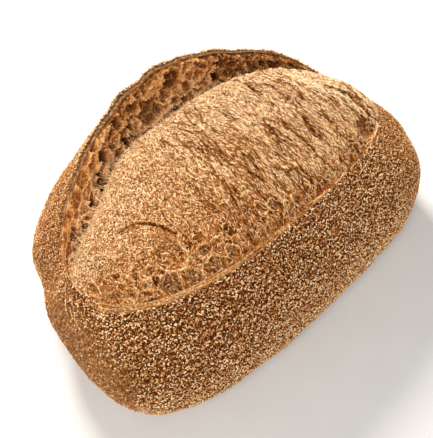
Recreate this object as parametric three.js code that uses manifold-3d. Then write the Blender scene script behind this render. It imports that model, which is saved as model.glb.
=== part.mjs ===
// Whole wheat bread loaf: an oval hearth loaf, slashed once along its length before baking.
// The crust on the near side folded down, the dough swelled up through the cut as a smooth
// bloom, and the crust on the far side lifted off it as a thin standing ear with torn crumb
// on its inner face. The crust is rolled in coarse bran. Sizes in millimetres, +Z up, the loaf
// lies along X, the ear is on the +Y side and the sole rests on Z = 0.
import * as THREE from 'three';
import { mergeVertices } from 'three/addons/utils/BufferGeometryUtils.js';
import Module from 'manifold-3d';

// The loaf before the cut opened
const LENGTH = 250;            // tip to tip, before the ends are skewed
const WIDTH = 171;             // across the belly
const BELLY_HEIGHT = 31;       // height of the widest line above the sole
const CROWN_HEIGHT = 89.4;     // top of the crust without the bloom
const CROWN_POWER = 2.43;      // superellipse power across the loaf, 2 is a plain ellipse
const NEAR_PLAN_POWER = 3.07;  // how square the near side is seen from above
const FAR_PLAN_POWER = 2.77;   // how square the far side is seen from above
const SIDE_POWER = 2.15;       // how square the loaf is seen from the side
const FOOT_SHARE = 0.69;       // half width of the flat sole over the half width of the belly
const SOLE_SHARE = 0.82;       // half length of the flat sole over the half length
const LEFT_SKEW = 0.10;        // the far side is shorter than the near side at the -X end
const RIGHT_SKEW = 0.03;       // and at the +X end

// The slash, in shares of the half length along and of the crown's half turn across
const SLASH_FROM = -0.868;
const SLASH_TO = 0.928;
const SLASH_POWER = 2.46;      // fullness of the opened cut along its length
const SLASH_POINT = 0.455;     // bluntness of its two ends
const SLASH_DRIFT = 0.035;     // the cut runs slightly askew
const NEAR_SPREAD = 0.41;      // opening towards the near lip
const FAR_SPREAD = 0.465;      // opening towards the ear's edge
const CLOSED_SPREAD = 0.02;    // seam left beyond the ends of the cut
const TIP_SPREAD = 0.14;       // the seam fans out over the tips
const SEAM_CREVICE = 0.6;      // where the crevice's line lies in the closed seam
const SEAM_EDGE = 0.25;        // and the thickness of the ear's edge there
const OPEN_FULLY = 0.25;       // the bloom stands at its full arch once the cut is this open

// The bloom, an arch over the chord from the near lip to the crevice under the ear
const BLOOM_RISE = 0.21;       // rise over the chord, as a share of the chord
const BLOOM_CREST = 0.52;      // where along the chord the arch is highest
const BLOOM_NEAR_POWER = 0.8;
const BLOOM_FAR_POWER = 2.4;
const CREVICE_DEPTH = 12;      // below the crust's own line
const CREVICE_SPREAD = 0.062;  // crevice to ear's edge
const LIP_RIDGE = 1.6;         // thin raised edge of the near crust
const LIP_RIDGE_REACH = 7;     // width of that edge along the crust
const LIP_GROOVE = 1.8;        // shallow channel where the bloom leaves the lip
const LIP_GROOVE_AT = 3.5;     // behind the lip
const LIP_GROOVE_REACH = 3.5;  // half its width

// The ear
const EAR_LIFT = 20;           // how far the edge stands off the crust's own line
const EAR_LEAN = 0.12;         // radians, leaning back over the bloom
const EAR_MIDDLE = 0.04;       // where along the loaf it stands highest
const EAR_REACH = 0.91;        // half length of the lifted part
const EAR_ROOT = 0.85;         // share of the far side that is pulled up with it
const EAR_EDGE = 0.024;        // thickness of the crust at its edge, in the crown's half turn
const EAR_WAVE = 0.06;         // the edge rises and falls by this share
const EAR_WAVE_TURNS = [9.1, 23];  // radians along half the loaf, slow and quick
const EAR_RISES_BY = 0.62;     // the ear stands fully off the loaf once the cut is this open

// Relief of the baked surface
const CRUST_WAVE = 0.7;        // slow unevenness of the crust
const CRUST_WAVE_PITCH = 47;
const CRUST_CALM = 20;         // it fades out over this height above the sole
const BLOOM_RIB = 0.8;         // stretch marks that run across the loaf over the bloom
const BLOOM_RIB_PITCH = 9;
const BLOOM_RIB_STRETCH = 0.22;  // they are drawn out across the loaf
const BLOOM_RIM_CALM = 2.5;    // relief fades out towards the lip and the crevice
const CRUMB_PIT = 2.6;         // torn unevenness of the ear's inner face
const CRUMB_PITCH = [13, 7.3]; // coarse and fine
const CRUMB_FINE = 0.6;        // the fine one is this much of the coarse one
const TIP_CALM_POWER = 8;      // no unevenness right at the tips
const PINCH = 4.5;             // fold where the cut ends at the -X end
const PINCH_AT = [-0.946, 0.24];  // along, and across in shares of the half width
const PINCH_SIZE = [0.06, 0.16];

// Blisters on the bloom: [along, across, radius, height], the negative ones are dents and folds
const BLISTERS = [
  [-0.556, 0.26, 13, 2.4], [-0.49, 0.09, 5.5, 1.6], [-0.43, 0.08, 5.5, 1.6], [-0.55, 0.09, 5.5, 1.6],
  [-0.62, 0.12, 6.5, 1.7], [-0.34, 0.08, 5.5, 1.5], [-0.11, 0.18, 7, 1.6], [-0.04, 0.17, 6.5, 1.5],
  [0.35, 0.60, 10, 1.7], [0.46, 0.53, 10, 1.7], [0.59, 0.14, 11, -3.0], [0.69, 0.24, 9, -2.6],
];

// Pockets in the torn crumb of the ear: [along, across, radius, depth]
const POCKETS = [
  [-0.41, 0.45, 8, 5], [-0.09, 0.42, 8, 5], [0.15, 0.56, 9, 4.5], [0.20, 0.27, 7, 4.5], [0.43, 0.36, 9, 5],
  [-0.64, 0.45, 6, 3.5], [0.58, 0.5, 7, 3.5],
];
const CRUMB_HEIGHT = 30;       // of the ear's inner face, crevice to edge

// Coarse bran flakes, the largest of the coat
const FLAKE_COUNT = 112;
const FLAKE_HALF = [2.1, 1.5, 1.1];  // half length, half width, half thickness
const FLAKE_SINK = 0.25;             // share of its half thickness that is sunk in the crust
const FLAKE_SPREAD = 0.25;           // how unequal in size they are
const FLAKE_REACH = 0.93;            // share of the half length that is coated
const FLAKE_CLEAR = 9;               // no flake lies lower than this over the sole

const EVEN_STEP = [0.7548776662, 0.5698402910];  // plastic-number steps, which fill a square evenly
const GOLDEN_ANGLE = 2.39996;
const FACING_STEP = 0.02;            // reach of the two steps that find which way the crust faces

// Mesh steps
const STATIONS = 66;
const ROWS = { sole: 7, nearLow: 5, nearUp: 8, bloom: 17, crumb: 6, edge: 1, farUp: 11, farLow: 5 };

const HALF_LENGTH = LENGTH / 2;
const HALF_WIDTH = WIDTH / 2;
const HALF_TURN = Math.PI / 2;

const clamp = (a, low, high) => Math.min(Math.max(a, low), high);
const mix = (a, b, t) => a + (b - a) * t;
const add = (a, b, k = 1) => [a[0] + b[0] * k, a[1] + b[1] * k];

// One at the middle, falling to nothing at both ends of -1 to 1
function superArc(t, power) {
  return Math.max(1 - Math.abs(t) ** power, 0) ** (1 / power);
}

// A smooth mound of height one at its centre
function mound(distance) {
  return Math.abs(distance) < 1 ? (1 - distance * distance) ** 2 : 0;
}

// Slow unevenness between -1 and 1, a sum of three crossing waves
function waves(x, y, z, pitch) {
  const k = 2 * Math.PI / pitch;
  return (Math.sin(k * (x + 0.45 * y + 0.2 * z) + 0.7) * Math.sin(k * (0.31 * x - 0.93 * y + 0.5 * z) + 1.9)
    + Math.sin(k * (0.62 * x + 0.38 * y - 0.81 * z) * 1.7 + 4.1) * 0.5) / 1.5;
}

// Crust line of the uncut loaf, from the near belly (v = -1) over the crown to the far belly (v = 1)
function crustLine(s, v) {
  const turn = HALF_TURN * (1 + v);
  const c = Math.cos(turn);
  const plan = c > 0 ? NEAR_PLAN_POWER : FAR_PLAN_POWER;
  const y = -HALF_WIDTH * superArc(s, plan) * Math.sign(c) * Math.abs(c) ** (2 / CROWN_POWER);
  const rise = (CROWN_HEIGHT - BELLY_HEIGHT) * superArc(s, SIDE_POWER);
  return [y, BELLY_HEIGHT + rise * Math.max(Math.sin(turn), 0) ** (2 / CROWN_POWER)];
}

// Outward direction of that line
function crustOutward(s, v) {
  const step = 1e-3;
  const a = crustLine(s, v - step);
  const b = crustLine(s, v + step);
  const size = Math.hypot(b[0] - a[0], b[1] - a[1]) || 1;
  return [-(b[1] - a[1]) / size, (b[0] - a[0]) / size];
}

// The opened cut at one station: how open it is and where its lines run
function slashAt(s) {
  const middle = (SLASH_FROM + SLASH_TO) / 2;
  const half = (SLASH_TO - SLASH_FROM) / 2;
  const t = Math.abs((s - middle) / half);
  const open = t < 1 ? (1 - t ** SLASH_POWER) ** SLASH_POINT : 0;
  const beyond = clamp(s > middle ? (s - SLASH_TO) / (1 - SLASH_TO) : (SLASH_FROM - s) / (1 + SLASH_FROM), 0, 1);
  const seam = mix(CLOSED_SPREAD, TIP_SPREAD, beyond);
  const centre = SLASH_DRIFT * s;
  const lip = centre - Math.max(NEAR_SPREAD * open, seam);
  const edge = centre + Math.max(FAR_SPREAD * open, seam);
  const crevice = edge - Math.max(CREVICE_SPREAD * open, seam * SEAM_CREVICE);
  const thick = Math.max(EAR_EDGE * open, seam * SEAM_EDGE);
  return { open, lip, edge, crevice, thick };
}

// How far the ear's edge is carried off the crust line at one station
function earLift(s, open) {
  const t = clamp((s - EAR_MIDDLE) / EAR_REACH, -1, 1);
  const wave = 1 + EAR_WAVE * Math.sin(EAR_WAVE_TURNS[0] * s) * Math.cos(EAR_WAVE_TURNS[1] * s);
  return EAR_LIFT * Math.cos(HALF_TURN * t) * Math.min(open / EAR_RISES_BY, 1) * wave;
}

// One closed cross-section as a list of rows, each a point [y, z] with its zone and place
function section(s) {
  const { open, lip, edge, crevice, thick } = slashAt(s);
  const rows = [];
  const put = (zone, q, point, out) => rows.push({ zone, q, point, out, open });

  const over = clamp((Math.abs(s) - SOLE_SHARE) / (1 - SOLE_SHARE), 0, 1);
  const down = Math.sqrt(Math.max(1 - over * over, 0));
  const soleZ = BELLY_HEIGHT * (1 - down);
  const nearHalf = HALF_WIDTH * superArc(s, NEAR_PLAN_POWER);
  const farHalf = HALF_WIDTH * superArc(s, FAR_PLAN_POWER);
  const nearFoot = nearHalf * FOOT_SHARE * down;
  const farFoot = farHalf * FOOT_SHARE * down;

  for (let i = 0; i < ROWS.sole; i++) {
    const q = i / ROWS.sole;
    put('sole', q, [mix(farFoot, -nearFoot, q), soleZ], [0, -1]);
  }
  for (let i = 0; i < ROWS.nearLow; i++) {
    const a = HALF_TURN * (1 - i / ROWS.nearLow);
    const y = -(nearFoot + (nearHalf - nearFoot) * Math.cos(a));
    put('near', i / ROWS.nearLow, [y, BELLY_HEIGHT - (BELLY_HEIGHT - soleZ) * Math.sin(a)], [-Math.cos(a), -Math.sin(a)]);
  }
  for (let i = 0; i < ROWS.nearUp; i++) {
    const q = Math.sin(HALF_TURN * i / ROWS.nearUp);
    const v = mix(-1, lip, q);
    const out = crustOutward(s, v);
    const line = crustLine(s, v);
    const end = crustLine(s, lip);
    const away = Math.hypot(line[0] - end[0], line[1] - end[1]);
    put('near', q, add(line, out, LIP_RIDGE * open * mound(away / LIP_RIDGE_REACH)), out);
  }
  const lipOut = crustOutward(s, lip);
  const lipPoint = add(crustLine(s, lip), lipOut, LIP_RIDGE * open);
  const root = add(crustLine(s, crevice), crustOutward(s, crevice), -CREVICE_DEPTH * open);
  const span = [root[0] - lipPoint[0], root[1] - lipPoint[1]];
  const chord = Math.hypot(span[0], span[1]);
  const up = [-span[1] / chord, span[0] / chord];
  for (let i = 0; i < ROWS.bloom; i++) {
    const q = (1 - Math.cos(Math.PI * i / ROWS.bloom)) / 2;
    const arch = q < BLOOM_CREST
      ? Math.sin(HALF_TURN * q / BLOOM_CREST) ** BLOOM_NEAR_POWER
      : Math.sqrt(1 - ((q - BLOOM_CREST) / (1 - BLOOM_CREST)) ** BLOOM_FAR_POWER);
    const groove = LIP_GROOVE * open * mound((q * chord - LIP_GROOVE_AT) / LIP_GROOVE_REACH);
    const swollen = add(add(lipPoint, span, q), up, BLOOM_RISE * chord * arch - groove);
    const flat = crustLine(s, mix(lip, crevice, q));
    const swell = clamp(open / OPEN_FULLY, 0, 1);
    put('bloom', q, [mix(flat[0], swollen[0], swell), mix(flat[1], swollen[1], swell)], up);
  }
  const lift = earLift(s, open);
  const lean = crustOutward(s, edge);
  const pull = [
    lean[0] * Math.cos(EAR_LEAN) - lean[1] * Math.sin(EAR_LEAN),
    lean[0] * Math.sin(EAR_LEAN) + lean[1] * Math.cos(EAR_LEAN),
  ];
  const inner = add(crustLine(s, edge - thick), pull, lift);
  const rim = add(crustLine(s, edge), pull, lift);
  const face = [inner[0] - root[0], inner[1] - root[1]];
  const faceSize = Math.hypot(face[0], face[1]) || 1;
  const faceOut = [-face[1] / faceSize, face[0] / faceSize];
  for (let i = 0; i < ROWS.crumb; i++) {
    const q = i / ROWS.crumb;
    put('crumb', q, add(root, face, q), faceOut);
  }
  put('edge', 0, inner, pull);
  for (let i = 0; i < ROWS.farUp; i++) {
    const q = i / ROWS.farUp;
    const v = mix(edge, 1, q);
    const carried = lift * clamp(1 - q / EAR_ROOT, 0, 1) ** 2;
    put('far', q, add(crustLine(s, v), pull, carried), crustOutward(s, v));
  }
  for (let i = 0; i < ROWS.farLow; i++) {
    const a = HALF_TURN * i / ROWS.farLow;
    const y = farFoot + (farHalf - farFoot) * Math.cos(a);
    put('far', 1 - i / ROWS.farLow, [y, BELLY_HEIGHT - (BELLY_HEIGHT - soleZ) * Math.sin(a)], [Math.cos(a), -Math.sin(a)]);
  }
  return rows;
}

// Height of the baked relief over the smooth section, in millimetres
function relief(row, s, x, chordScale) {
  const [y, z] = row.point;
  if (row.zone === 'sole' || z < 0.5) return 0;
  if (row.zone === 'bloom') {
    const hold = Math.min(1, Math.sin(Math.PI * row.q) * BLOOM_RIM_CALM) * row.open;
    let h = BLOOM_RIB * waves(x, y * BLOOM_RIB_STRETCH, 0, BLOOM_RIB_PITCH);
    for (const [bs, bq, radius, height] of BLISTERS) {
      h += height * mound(Math.hypot((s - bs) * HALF_LENGTH, (row.q - bq) * chordScale) / radius);
    }
    return h * hold;
  }
  if (row.zone === 'crumb') {
    const hold = Math.sin(Math.PI * row.q) * row.open;
    const coarse = (1 + waves(x, y, z, CRUMB_PITCH[0])) / 2;
    let h = CRUMB_PIT * (CRUMB_FINE * waves(x, y, z, CRUMB_PITCH[1]) - coarse);
    for (const [ps, pq, radius, depth] of POCKETS) {
      h -= depth * mound(Math.hypot((s - ps) * HALF_LENGTH, (row.q - pq) * CRUMB_HEIGHT) / radius);
    }
    return h * hold;
  }
  if (row.zone === 'edge') return 0;
  const clear = clamp(z / CRUST_CALM, 0, 1);
  const fold = mound(Math.hypot((s - PINCH_AT[0]) / PINCH_SIZE[0], (y / HALF_WIDTH - PINCH_AT[1]) / PINCH_SIZE[1]));
  const tipCalm = 1 - Math.abs(s) ** TIP_CALM_POWER;
  return CRUST_WAVE * waves(x, y, z, CRUST_WAVE_PITCH) * clear * tipCalm - PINCH * fold * clear;
}

// The end of the loaf is skewed, so that its far side is the shorter one
function skewed(x, y) {
  return x * (1 - (x < 0 ? LEFT_SKEW : RIGHT_SKEW) * y / HALF_WIDTH);
}

// Stations closer together at the tips
function stationAt(i) {
  return -Math.cos(Math.PI * i / STATIONS);
}

function loafGeometry() {
  const rings = [];
  for (let i = 1; i < STATIONS; i++) {
    const s = stationAt(i);
    const rows = section(s);
    const bloomRows = rows.filter((row) => row.zone === 'bloom');
    const first = bloomRows[0].point;
    const last = rows.find((row) => row.zone === 'crumb').point;
    const chord = Math.hypot(last[0] - first[0], last[1] - first[1]);
    rings.push(rows.map((row) => {
      const x = s * HALF_LENGTH;
      const [y, z] = add(row.point, row.out, relief(row, s, x, chord));
      return [skewed(x, y), y, z];
    }));
  }
  const count = rings[0].length;
  const points = rings.flat();
  const index = [];
  for (let i = 0; i + 1 < rings.length; i++) {
    for (let j = 0; j < count; j++) {
      const a = i * count + j;
      const b = i * count + (j + 1) % count;
      index.push(a, a + count, b, b, a + count, b + count);
    }
  }
  const tips = [points.length, points.length + 1];
  points.push([-HALF_LENGTH, 0, BELLY_HEIGHT], [HALF_LENGTH, 0, BELLY_HEIGHT]);
  const lastRing = (rings.length - 1) * count;
  for (let j = 0; j < count; j++) {
    const k = (j + 1) % count;
    index.push(tips[0], j, k, tips[1], lastRing + k, lastRing + j);
  }
  const geometry = new THREE.BufferGeometry();
  geometry.setAttribute('position', new THREE.Float32BufferAttribute(points.flat(), 3));
  geometry.setIndex(index);
  return geometry;
}

// Place on the coated crust: side 'near' or 'far', share 0 to 1 down or up that side
function crustPlace(side, s, share) {
  const x = s * HALF_LENGTH;
  const line = section(s).filter((row) => row.zone === side);
  const at = clamp(share, 0, 1) * (line.length - 1.001);
  const i = Math.floor(at);
  const [a, b] = [line[i], line[i + 1]].map((row) => add(row.point, row.out, relief(row, s, x, 1)));
  const y = mix(a[0], b[0], at - i);
  return new THREE.Vector3(skewed(x, y), y, mix(a[1], b[1], at - i));
}

// Outward direction of the crust there, square to a step along and a step across
function crustFacing(side, s, share) {
  const step = FACING_STEP;
  const along = crustPlace(side, s + step, share).sub(crustPlace(side, s - step, share));
  const across = crustPlace(side, s, share + step).sub(crustPlace(side, s, share - step));
  return along.cross(across).normalize();
}

// Bran flakes, each a flattened pebble half bedded in the crust, set out by an even two-way rule
function flakeGeometries() {
  const flakes = [];
  for (let k = 0; flakes.length < FLAKE_COUNT; k++) {
    const along = (0.5 + EVEN_STEP[0] * k) % 1;
    const across = (0.5 + EVEN_STEP[1] * k) % 1;
    const side = across < 0.5 ? 'near' : 'far';
    const s = FLAKE_REACH * (2 * along - 1);
    const share = (across * 2) % 1;
    const place = crustPlace(side, s, share);
    if (place.z < FLAKE_CLEAR) continue;
    const facing = crustFacing(side, s, share);
    const grow = 1 + FLAKE_SPREAD * Math.sin(k * k);
    const flake = new THREE.IcosahedronGeometry(1, 0);
    flake.scale(FLAKE_HALF[0] * grow, FLAKE_HALF[1] * grow, FLAKE_HALF[2] * grow);
    flake.rotateZ(GOLDEN_ANGLE * k);
    flake.applyQuaternion(new THREE.Quaternion().setFromUnitVectors(new THREE.Vector3(0, 0, 1), facing));
    place.addScaledVector(facing, -FLAKE_SINK * FLAKE_HALF[2]);
    flake.translate(place.x, place.y, place.z);
    flakes.push(flake);
  }
  return flakes;
}

const wasm = await Module();
wasm.setup();

// A closed solid from a geometry's points and triangles
function solidOf(geometry) {
  const plain = geometry.clone();
  plain.deleteAttribute('normal');
  plain.deleteAttribute('uv');
  const joined = mergeVertices(plain, 1e-4);
  return new wasm.Manifold(new wasm.Mesh({
    numProp: 3,
    vertProperties: new Float32Array(joined.attributes.position.array),
    triVerts: new Uint32Array(joined.index.array),
  }));
}

// The geometry of a closed solid
function geometryOf(solid) {
  const { vertProperties, triVerts } = solid.getMesh();
  const geometry = new THREE.BufferGeometry();
  geometry.setAttribute('position', new THREE.BufferAttribute(vertProperties, 3));
  geometry.setIndex(new THREE.BufferAttribute(triVerts, 1));
  return geometry;
}

let coated = solidOf(loafGeometry());
for (const flake of flakeGeometries()) coated = coated.add(solidOf(flake));

// Centred over its own box, with the sole on Z = 0
const geometry = geometryOf(coated);
geometry.computeBoundingBox();
const middle = geometry.boundingBox.getCenter(new THREE.Vector3());
geometry.translate(-middle.x, -middle.y, -geometry.boundingBox.min.z);
geometry.computeVertexNormals();

const loaf = new THREE.Mesh(geometry, new THREE.MeshStandardMaterial({ color: '#a9713f', roughness: 0.9, metalness: 0 }));
loaf.name = 'loaf';

const bread = new THREE.Group();
bread.name = 'whole wheat bread';
bread.add(loaf);
export default bread;
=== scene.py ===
import math
import bpy
import numpy as np
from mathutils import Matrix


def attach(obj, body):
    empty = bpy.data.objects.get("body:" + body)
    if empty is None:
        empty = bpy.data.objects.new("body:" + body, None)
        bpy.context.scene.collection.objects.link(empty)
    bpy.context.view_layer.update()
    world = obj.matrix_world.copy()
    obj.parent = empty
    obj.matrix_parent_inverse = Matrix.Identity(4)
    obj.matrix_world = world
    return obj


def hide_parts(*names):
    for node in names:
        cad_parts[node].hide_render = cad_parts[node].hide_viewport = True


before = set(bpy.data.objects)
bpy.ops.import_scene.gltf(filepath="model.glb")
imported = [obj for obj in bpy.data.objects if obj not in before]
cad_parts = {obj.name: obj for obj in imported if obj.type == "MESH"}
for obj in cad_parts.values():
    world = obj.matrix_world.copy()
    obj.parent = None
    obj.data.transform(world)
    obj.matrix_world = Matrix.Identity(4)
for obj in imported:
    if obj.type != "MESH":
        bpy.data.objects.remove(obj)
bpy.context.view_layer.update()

# Crust. The outer skin of a hearth loaf: dough rolled in bran, baked on a hot floor until it is dry,
# brown and rough. One slash along the top let it part: the near lip folded down and the far side
# was lifted off the dough as a thin standing ear, whose cut edge is bare of bran.
LENGTH = 250.0
WIDTH = 171.0
BELLY_HEIGHT = 31.0
CROWN_HEIGHT = 89.4
CROWN_POWER = 2.43
NEAR_PLAN_POWER = 3.07
FAR_PLAN_POWER = 2.77
SIDE_POWER = 2.15
FOOT_SHARE = 0.69
SOLE_SHARE = 0.82
LEFT_SKEW = 0.10
RIGHT_SKEW = 0.03
# Places along run from -1 at the left tip to 1 at the right one, and across from -1 to 1. Sizes are in mm.
SLASH_FROM = -0.868
SLASH_TO = 0.955
SLASH_POWER = 2.46
RIGHT_SLASH_POWER = 3.2
SLASH_POINT = 0.455
SLASH_DRIFT = 0.035
NEAR_SPREAD = 0.41
FAR_SPREAD = 0.465
CLOSED_SPREAD = 0.02
TIP_SPREAD = 0.14
SEAM_CREVICE = 0.6
SEAM_EDGE = 0.25
CREVICE_DEPTH = 12.0
CREVICE_SPREAD = 0.062
LEFT_SETBACK = 0.08
LEFT_SETBACK_GROWS = (0.52, 0.86)
LEFT_SETBACK_ENDS = (0.855, 0.90)
LEFT_GAP = 0.13
LEFT_GAP_AT = -0.66
LEFT_GAP_REACH = 0.36
LIP_RIDGE = 1.6
LIP_RIDGE_REACH = 7.0
LIP_RIDGE_RIGHT = 0.4
LIP_THICKNESS = 3.5
EAR_LIFT = 20.0
EAR_LEAN = 0.12
EAR_MIDDLE = 0.04
EAR_REACH = 0.91
EAR_ROOT = 0.85
EAR_EDGE = 0.037
EAR_BEVEL = 1.5
EAR_WAVE = 0.06
EAR_WAVE_TURNS = (9.1, 23.0)
# Place along, reach, and share of the lift.
EAR_HUMPS = [(0.09, 0.20, 0.11), (0.44, 0.18, -0.06), (0.78, 0.16, 0.20), (-0.09, 0.14, -0.04),
             (-0.32, 0.14, -0.03)]
EAR_RISES_BY = 0.62
CRUST_STATIONS = 380
SOLE_ROWS, LOW_ROWS, UP_ROWS, EDGE_ROWS, FAR_ROWS = 12, 30, 58, 8, 68
HIDDEN_ROWS = (3, 4, 3, 3, 4, 3)
HIDDEN_UNDER_BLOOM = 18
HIDDEN_UNDER_CREVICE = 15
HIDDEN_IN_EAR = (17, 6.5)
SEALED_WITHIN = 0.01
CRUST_WAVE = 0.7
CRUST_WAVE_PITCH = 47.0
CRUST_CALM = 20.0
TIP_CALM_POWER = 8
CRUST_LUMP = 0.35
CRUST_LUMP_PITCH = 8.0
CRUST_LUMP_SEED = 3
CRUST_GRIT = 0.28
CRUST_GRIT_PITCH = 2.3
GRIT_CALM = 4
PINCH = 5.2
PINCH_AT = (-0.940, 0.36)
PINCH_SIZE = (0.09, 0.30)
# Centre, reach and rise.
SWELLS = [(85.0, -77.0, 34.0, 46.0, 1.6), (110.0, -30.0, 58.0, 26.0, 1.6)]
WRINKLE = 0.8
WRINKLE_MIDDLE = 8
WRINKLE_STRETCH = np.array([0.35, 1.0, 0.45])
WRINKLE_PITCH = 4.5
BARE_LIP = 0.7
EDGE_SHADES = (0.2, 0.9, 1.0, 1.0, 0.8, 0.25, 0.0, 0.0)
FRINGE_ROWS = 3
FRINGE_FROM = (-0.5, -0.2)
DRY_GLOSS = 0.06
BOX_MIDDLE = np.array([-1.13, 0.0, 0.0])
HALF_LENGTH = LENGTH / 2
HALF_WIDTH = WIDTH / 2
HALF_TURN = math.pi / 2


def super_arc(t, power):
    """One at the middle and nothing at -1 and 1: the power root of one less the power of t."""
    return np.maximum(1 - np.abs(t) ** power, 0) ** (1 / power)


def mound(distance):
    """One at the centre, nothing from distance 1 outwards: the square of one less the distance squared."""
    return np.where(np.abs(distance) < 1, (1 - np.minimum(distance ** 2, 1)) ** 2, 0)


def eased(a, low, high):
    """Nothing below low, one above high, and a smooth cubic between."""
    t = np.clip((a - low) / (high - low), 0, 1)
    return t * t * (3 - 2 * t)


def mix(a, b, t):
    """Straight-line blend from a to b."""
    return a + (b - a) * t


def unit(v):
    """Directions at length one: each divided by its own length."""
    return v / np.maximum(np.linalg.norm(v, axis=-1, keepdims=True), 1e-9)


def quarter_turn(v):
    """Directions in a section turned left by a right angle: minus the second number, then the first."""
    return np.stack([-v[..., 1], v[..., 0]], -1)


def waves(x, y, z, pitch):
    """Slow unevenness between -1 and 1, the sum of three crossing sine waves."""
    k = 2 * math.pi / pitch
    first = np.sin(k * (x + 0.45 * y + 0.2 * z) + 0.7) * np.sin(k * (0.31 * x - 0.93 * y + 0.5 * z) + 1.9)
    return (first + np.sin(k * (0.62 * x + 0.38 * y - 0.81 * z) * 1.7 + 4.1) * 0.5) / 1.5


def crust_line(s, v):
    """Half superellipse from the near belly (v = -1) over the crown to the far belly (v = 1)."""
    c = np.cos(HALF_TURN * (1 + v))
    up = np.maximum(np.sin(HALF_TURN * (1 + v)), 0)
    half = HALF_WIDTH * np.where(c > 0, super_arc(s, NEAR_PLAN_POWER), super_arc(s, FAR_PLAN_POWER))
    rise = (CROWN_HEIGHT - BELLY_HEIGHT) * super_arc(s, SIDE_POWER)
    y = -half * np.sign(c) * np.abs(c) ** (2 / CROWN_POWER)
    return np.stack(np.broadcast_arrays(y, BELLY_HEIGHT + rise * up ** (2 / CROWN_POWER)), -1)


def crust_outward(s, v):
    """Direction square to the crust line, from the difference of two close points."""
    return quarter_turn(unit(crust_line(s, v + 1e-3) - crust_line(s, v - 1e-3)))


def slash_lines(s):
    """Opening of the cut and the places of its lip, crevice and ear edge across the crown."""
    middle, half = (SLASH_FROM + SLASH_TO) / 2, (SLASH_TO - SLASH_FROM) / 2
    t = np.minimum(np.abs((s - middle) / half), 1)
    opening = (1 - t ** np.where(s > middle, RIGHT_SLASH_POWER, SLASH_POWER)) ** SLASH_POINT
    beyond = np.where(s > middle, (s - SLASH_TO) / (1 - SLASH_TO), (SLASH_FROM - s) / (1 + SLASH_FROM))
    seam = mix(CLOSED_SPREAD, TIP_SPREAD, np.clip(beyond, 0, 1))
    lip = SLASH_DRIFT * s - np.maximum(NEAR_SPREAD * opening, seam)
    edge = SLASH_DRIFT * s + np.maximum(FAR_SPREAD * opening, seam)
    gap = CREVICE_SPREAD + LEFT_GAP * mound((s - LEFT_GAP_AT) / LEFT_GAP_REACH)
    crevice = edge - np.maximum(gap * opening, seam * SEAM_CREVICE)
    edge = edge + LEFT_SETBACK * eased(-s, *LEFT_SETBACK_GROWS) * (1 - eased(-s, *LEFT_SETBACK_ENDS))
    thick = np.maximum(EAR_EDGE * opening, seam * SEAM_EDGE)
    return opening, lip, crevice, edge, thick


def ear_pull(s):
    """How far and which way the ear's edge is carried: a cosine along the loaf, leaning over the bloom."""
    opening, _, _, edge, _ = slash_lines(s)
    t = np.clip((s - EAR_MIDDLE) / EAR_REACH, -1, 1)
    wave = 1 + EAR_WAVE * np.sin(EAR_WAVE_TURNS[0] * s) * np.cos(EAR_WAVE_TURNS[1] * s)
    for at, reach, hump in EAR_HUMPS:
        wave = wave + hump * mound((s - at) / reach)
    lift = EAR_LIFT * np.cos(HALF_TURN * t) * np.minimum(opening / EAR_RISES_BY, 1) * wave
    out = crust_outward(s, edge)
    c, d = math.cos(EAR_LEAN), math.sin(EAR_LEAN)
    turned = np.stack([out[..., 0] * c - out[..., 1] * d, out[..., 0] * d + out[..., 1] * c], -1)
    return turned * lift[..., None]


def lip_ridge(s):
    """Height of the ridge along the lip, which dies down to the right."""
    return LIP_RIDGE * mix(1.0, LIP_RIDGE_RIGHT, eased(s, 0.0, 0.5))


def cut_points(s):
    """The five corners of the opened cut in a section: lip, crevice, ear's inner and outer edge, pull."""
    opening, lip, crevice, edge, thick = slash_lines(s)
    pull = ear_pull(s)
    lip_at = crust_line(s, lip) + crust_outward(s, lip) * (lip_ridge(s) * opening)[..., None]
    root = crust_line(s, crevice) - crust_outward(s, crevice) * (CREVICE_DEPTH * opening)[..., None]
    inner = crust_line(s, edge - thick) + pull - crust_outward(s, edge) * (EAR_BEVEL * opening)[..., None]
    return lip_at, root, inner, crust_line(s, edge) + pull, pull


def path_rows(corners, counts):
    """Rows on straight legs between corner points, the last corner left out."""
    legs = []
    for a, b, n in zip(corners[:-1], corners[1:], counts):
        t = (np.arange(n) / n)[None, :, None]
        legs.append(a + (b - a) * t)
    return np.concatenate(legs, 1)


def inside_ear(root, inner, low, high):
    """Two places behind the torn face of the ear, at a third and at four fifths of its height."""
    inward = -quarter_turn(unit(inner - root))
    return mix(root, inner, 0.35) + inward * low, mix(root, inner, 0.82) + inward * high


def outward_of(points, wrap):
    """Direction square to a grid of points: cross product of its steps along and across."""
    along = np.gradient(points, axis=0)
    if wrap:
        across = np.roll(points, -1, 1) - np.roll(points, 1, 1)
    else:
        across = np.gradient(points, axis=1)
    return unit(np.cross(along, across))


def in_frame(s, section):
    """Section points put at their stations, with the far side shortened by the skew of the ends."""
    x = s * HALF_LENGTH
    y = section[..., 0]
    skew = np.where(x < 0, LEFT_SKEW, RIGHT_SKEW)
    x = np.broadcast_to(x, y.shape) * (1 - skew * y / HALF_WIDTH)
    return np.stack([x, y, section[..., 1]], -1)


def hashed(i, j, k, seed):
    """A fixed number from 0 to 1 for each whole-number cell: the fraction of a large multiple of a sine."""
    h = np.sin(i * 127.1 + j * 311.7 + k * 74.7 + seed * 53.3) * 43758.5453
    return h - np.floor(h)


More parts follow.
